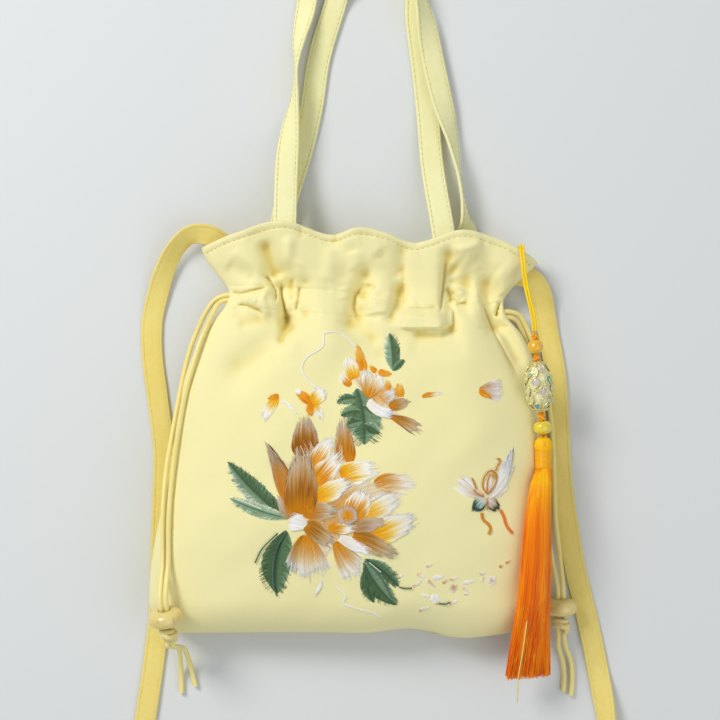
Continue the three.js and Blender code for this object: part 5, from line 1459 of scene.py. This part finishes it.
flowers = [
    ((355, 379.5), (347.3, 357.5), 19, "gold", "round", 2, 0, 0.03),
    ((351, 386), (339.5, 375), 11, "flame", "round", 1),
    ((363.4, 371), (357.5, 346), 13, "honey", "bud", 1), ((376, 372), (369.5, 366), 7, "orange", "bud", 2),
    ((378, 372.5), (391, 374), 9, "orange", "bud", 1),
    ((367, 398), (375, 373.5), 28, "peach", "fan", 2, 0, 0.05),
    ((388, 390), (387.5, 380), 9, "honey", "bud", 1), ((399.2, 397), (399.2, 384), 13, "honey", "bud", 1),
    ((381, 400), (396, 393), 13, "lilac", "round", 3, 0, 0.03),
    ((388.5, 408), (407.5, 400.5), 14, "tan", "round", 2, 0, 0.03),
    ((388.5, 416), (420, 430), 15, "tan", "fan", 2, -1, 0.02),
    ((367, 400.5), (393, 415), 12, "white", "strip", 3, 3),
    ((421.4, 397), (442.5, 393), 8, "flame", "point", 0, -1),
    ((478.5, 390), (502.5, 391), 24, "lilac", "fan", 0, 0, 0.06),
    ((479, 391), (491, 398), 9, "orange", "point", 1),
    ((277, 396), (262.5, 420), 13, "gold", "round", 1, 0, 0.03),
    ((279, 396), (268, 398), 7, "orange", "bud", 2), ((281, 399), (297, 413), 3, "white", "point", 0, 1),
    ((313, 404), (297, 391.5), 12, "orange", "round", 1),
    ((301, 393.5), (296, 389.5), 6, "white", "bud", 2),
    ((311.5, 404), (323.5, 388.5), 18, "gold", "round", 2, 0, 0.03),
    ((311.8, 402), (309.7, 415.5), 11, "orange", "round", 1),
    ((312, 403), (323, 418), 11, "gold", "round", 1, 0, 0.02),
    ((321, 579), (314.5, 596), 5, "white", "point", 1, -2),
]
blossoms = [
    ((426, 567), (432, 563.5), 5, "blush"), ((417, 574), (425, 577.5), 6, "blush"),
    ((424, 578.5), (429, 584), 4, "white"), ((412.5, 587), (421, 581), 5.5, "blush"),
    ((427.5, 580), (435, 587), 5, "lilac"), ((432, 579), (443, 575.5), 6.5, "white"),
    ((442.5, 583.5), (448, 579), 4.5, "lilac"), ((449.5, 580), (456.5, 577.5), 5, "blush"),
    ((462, 583.8), (473.5, 581), 5, "white"), ((463, 588), (468.5, 592), 5, "blush"),
    ((464, 595), (469, 592.6), 3.5, "blush"), ((421, 594.5), (430, 596.5), 4.2, "white"),
    ((436, 604.5), (443, 602), 4, "lilac"), ((449.5, 604), (457.5, 600.3), 5, "blush"),
    ((418.5, 611), (430, 607), 5, "blush"), ((479.5, 574.5), (485.5, 572), 5, "blush"),
    ((484, 577.5), (480.5, 581.5), 3.5, "blush"), ((499, 567), (504, 565), 5.5, "peach"),
    ((505.5, 563.5), (510.5, 559.5), 3.5, "flame"), ((395.5, 577), (403, 575.5), 4.5, "blush"),
]
rosettes = [((453.5, 587.7), 3.8, "lilac"), ((435, 598.7), 4.2, "white"), ((492, 580.7), 4.2, "blush")]
butterfly = [
    ((485, 497), (457, 481), 19, "blush", "fan", 1, -1.5, 0.05),
    ((486.5, 498.5), (512, 448), 16, "white", "point", 2, 5.5),
    ((486.5, 498), (513, 463), 12, "blush", "round", 1, 4, 0.04),
    ((486.5, 498.5), (508, 484), 13, "blush", "round", 0, 1, 0.04),
    ((485.5, 498.5), (474, 511), 15, "teal", "round", 2, 1, 0.02),
    ((487, 499.5), (498.5, 510), 14, "olive", "round", 2, -1, 0.02),
    ((487, 494), (491, 473), 9, "blush", "bud", 3, -1),
    ((492, 478), (493.5, 471.5), 4, "orange", "bud", 4),
]
dark, mid, pale = "506c48", "7c9874", "d2e0c8"
leaves = [  # base, tip, width, left tones, right tones, bend, layer
    ((287, 519), (227.3, 461.5), 22, (mid, "e4efe2"), (dark, mid), -3, 0),
    ((288, 518), (229.5, 498), 15, ("88a680", pale), ("a2bb98", "e2ebd8"), -2, 1),
    ((286, 530), (277, 594), 32, ("5c7c56", "8fae86"), (dark, "648460"), 5, 0),
    ((365, 559), (399, 586.5), 17, ("5c7c58", "a6c09a"), (dark, mid), -2, 0),
    ((364, 561), (397, 605), 21, (mid, "94b08a"), (dark, "567650"), 4, 1),
    ((366, 566), (374, 603), 15, (dark, mid), (dark, mid), 3, 0),
    ((393, 371), (389.3, 333), 17, ("88a680", "e8efdc"), (dark, mid), 1, 0),
    ((393, 371), (404.5, 359.5), 9, (mid, "a2bb98"), (dark, mid), -1, 0),
    ((357, 388), (364.5, 445), 37, (mid, "a2bb98"), ("5c7c58", "b8ceac"), -3, 0),
    ((359, 399), (336.5, 402.5), 11, (mid, "8fae86"), (dark, mid), 2, 0),
    ((362, 411), (340.5, 415.5), 12, (dark, mid), (mid, "8fae86"), 2, 1),
    ((363, 421), (346, 425.5), 11, (mid, "8fae86"), (dark, mid), 1, 1),
    ((362, 406), (385, 413.5), 13, (mid, pale), (dark, mid), -1, 1),
    ((363, 424), (379.5, 433), 12, (mid, pale), (dark, "567650"), -1, 1),
]
under = [  # the ground of pale petals below the others: tip and width
    ((280, 466), 34), ((305, 445), 36), ((334, 446), 38), ((366, 474), 40), ((392, 489), 34), ((394, 520), 36),
    ((376, 543), 34), ((346, 562), 36), ((310, 560), 40), ((292, 525), 28), ((290, 500), 30),
]
smallUnder = [
    ((348, 367), 16), ((364, 368), 14), ((384, 380), 18), ((397, 391), 16), ((402, 404), 16), ((398, 417), 12),
    ((384, 410), 16),
]
pick = random.Random(77)
pieces = {"peony": bmesh.new(), "small_flowers": bmesh.new(), "leaves": bmesh.new(), "butterfly": bmesh.new()}
for mesh in pieces.values():
    mesh.verts.layers.float_color.new("tone")
for base, tip, wide, left, right, bend, layer in leaves:
    addLeaf(pieces["leaves"], pick, base, tip, wide, left, right, bend, layer)
for name, start, tips in (("peony", (332, 508), under), ("small_flowers", (374, 394), smallUnder)):
    for tip, wide in tips:
        addPetal(pieces[name], pick, start, tip, wide, "under", ruffle=0.04, dome=0.2)
for base, tip, wide, *rest in peony + rays:
    start = tuple(b - 0.06 * (t - b) for b, t in zip(base, tip))
    addPetal(pieces["peony"], pick, start, tip, wide * 1.06, *rest)
for petal in flowers:
    addPetal(pieces["small_flowers"], pick, *petal, dome=0.25)
for centre, size, tone in rosettes:
    for turn in np.linspace(0.4, 0.4 + 2 * math.pi, 6)[:-1]:
        tip = (centre[0] + size * 1.25 * math.cos(turn), centre[1] + size * 1.25 * math.sin(turn))
        addPetal(pieces["small_flowers"], pick, centre, tip, size * 1.3, tone, dome=0.25)
for base, tip, wide, tone in blossoms:
    addPetal(pieces["small_flowers"], pick, base, tip, wide * 0.85, tone, "bud", dome=0.3)
for petal in butterfly:
    addPetal(pieces["butterfly"], pick, *petal, dome=0.2)
for name, mesh in pieces.items():
    keep(f"embroidered_{name}", mesh, satinLook, "cloth")
looseColours = ["fffdf6", "faf0cf", "f8c83c", "eab45c", "e48a10", "c4a070", "a8681c", "d8c6aa", "d2e0c8",
                "76926e", "46603e"]
looseTones = np.array([srgb(colour) for colour in looseColours])
looseLooks = []
for i, tone in enumerate(looseTones):
    look = Look(f"looseSilk{i}", Roughness=0.55, Specular_IOR_Level=0.14)
    grain = look.noise(look.place(), 500, 2)
    look.feed("Base Color", look.blend(grain, tuple(tone * 0.86), tuple(np.minimum(tone * 1.08, 1))))
    looseLooks.append(look)
across, down, rises, tones = zip(*looseSilk)
looseSpots = onFront(np.concatenate(across), np.concatenate(down))
looseSpots[:, 2] += np.concatenate(rises)
looseLines = looseSpots.reshape(-1, 4, 3) / 1000
looseThreads = cording("loose_silk", looseLines, stitchWork["loose"], 0, looseLooks, "cloth")
for spline, tone in zip(looseThreads.data.splines, tones):
    spline.material_index = int(np.argmin(((looseTones - tone) ** 2).sum(1)))
print(len(looseLines), "loose threads")


def silkLine(name, dark, light):
    return twoTone(name, dark, light, 400, Roughness=0.42, Sheen_Weight=0.2, Specular_IOR_Level=0.5)


def stemLines(name, paths, radius, look, lift=0.3):
    # couched lines of thread, each laid as two strands side by side
    lines = []
    for points in paths:
        line = curveThrough([(*p, 0) for p in points], 5)
        way = np.gradient(line[:, :2], axis=0)
        way /= np.linalg.norm(way, axis=1)[:, None]
        for hand in (-1, 1):
            aside = np.stack([-way[:, 1], way[:, 0]], 1) * hand * radius / stitchWork["pixel"] * 0.85
            lines.append(onFront(line[:, 0] + aside[:, 0], line[:, 1] + aside[:, 1], lift) / 1000)
    cording(name, lines, radius, 1, look, "cloth")


stemLines("white_curls", [
    [(355.6, 346.4), (344, 336), (338.2, 332.3), (330.6, 331.9), (323.7, 334.2), (323.7, 340.3),
     (322.9, 345.7), (315.3, 351.8), (307.6, 356.4), (302.3, 364.8), (302.3, 370.9), (307.6, 380),
     (315.3, 386.2), (320.6, 388.5)],
    [(336, 586.5), (346, 596.4), (343, 602.5), (349.8, 606.4), (359.8, 609.4), (373.6, 613.2), (381, 617)],
    [(282.4, 400), (290, 405.3), (296, 413)],
], 0.24, silkLine("whiteSilk", "eeeadf", "fdfcf6"))
stemLines("butterfly_lines", [
    [(486.5, 493.5), (482.8, 487), (483.5, 479), (487.5, 472.5), (492.5, 470.5), (496.5, 475), (495.5, 483),
     (491.5, 490), (487, 494)],
    [(486.8, 491), (487.5, 481), (490, 474)],
    [(495.5, 471), (497.5, 466), (500, 462), (499.5, 458.8), (497, 459.2)],
    [(472, 478), (475, 485), (476, 489)], [(473.5, 490), (478, 494), (484, 497)],
    [(487, 499), (487.5, 505), (487, 510)],
], 0.24, silkLine("amberSilk", "b8701c", "dc9a34"), 0.95)
tails = {
    "left": ("cf8606", "e09c14", [(481.8, 513), (483.2, 519.7), (488.5, 524.4), (490.5, 529), (488.5, 534.4)]),
    "right": ("e0740a", "f08c1c", [(500.6, 510.3), (503.9, 517), (506, 524.4), (509.3, 529.8), (512.6, 533)]),
}
for side, (dark, light, points) in tails.items():
    name = f"butterfly_tail_{side}"
    stemLines(name, [points], 0.5, silkLine(f"{name}_silk", dark, light), 0.2)
stemLines("leaf_lines", [
    [(399, 587), (405, 588.2), (412, 588)], [(278, 533), (262, 549), (255, 563)],
    [(439, 603.5), (446, 604), (450, 602)],
    [(365, 559), (380, 576), (392, 598)], [(286, 531), (275, 553), (273, 582), (277, 596)],
], 0.22, silkLine("greenSilk", "33503f", "5f8068"), 0.95)
glints = [[(369, 562), (375, 567), (381, 572)], [(236, 499), (250, 504), (262, 509)]]
stemLines("leaf_glints", glints, 0.14, silkLine("paleGreenSilk", "cfe2cc", "eef6ea"), 0.9)
print("embroidery made")

# Cords and sheets, and the sizes before and after.
for name, cord in cords.items():
    line = cord["line"]
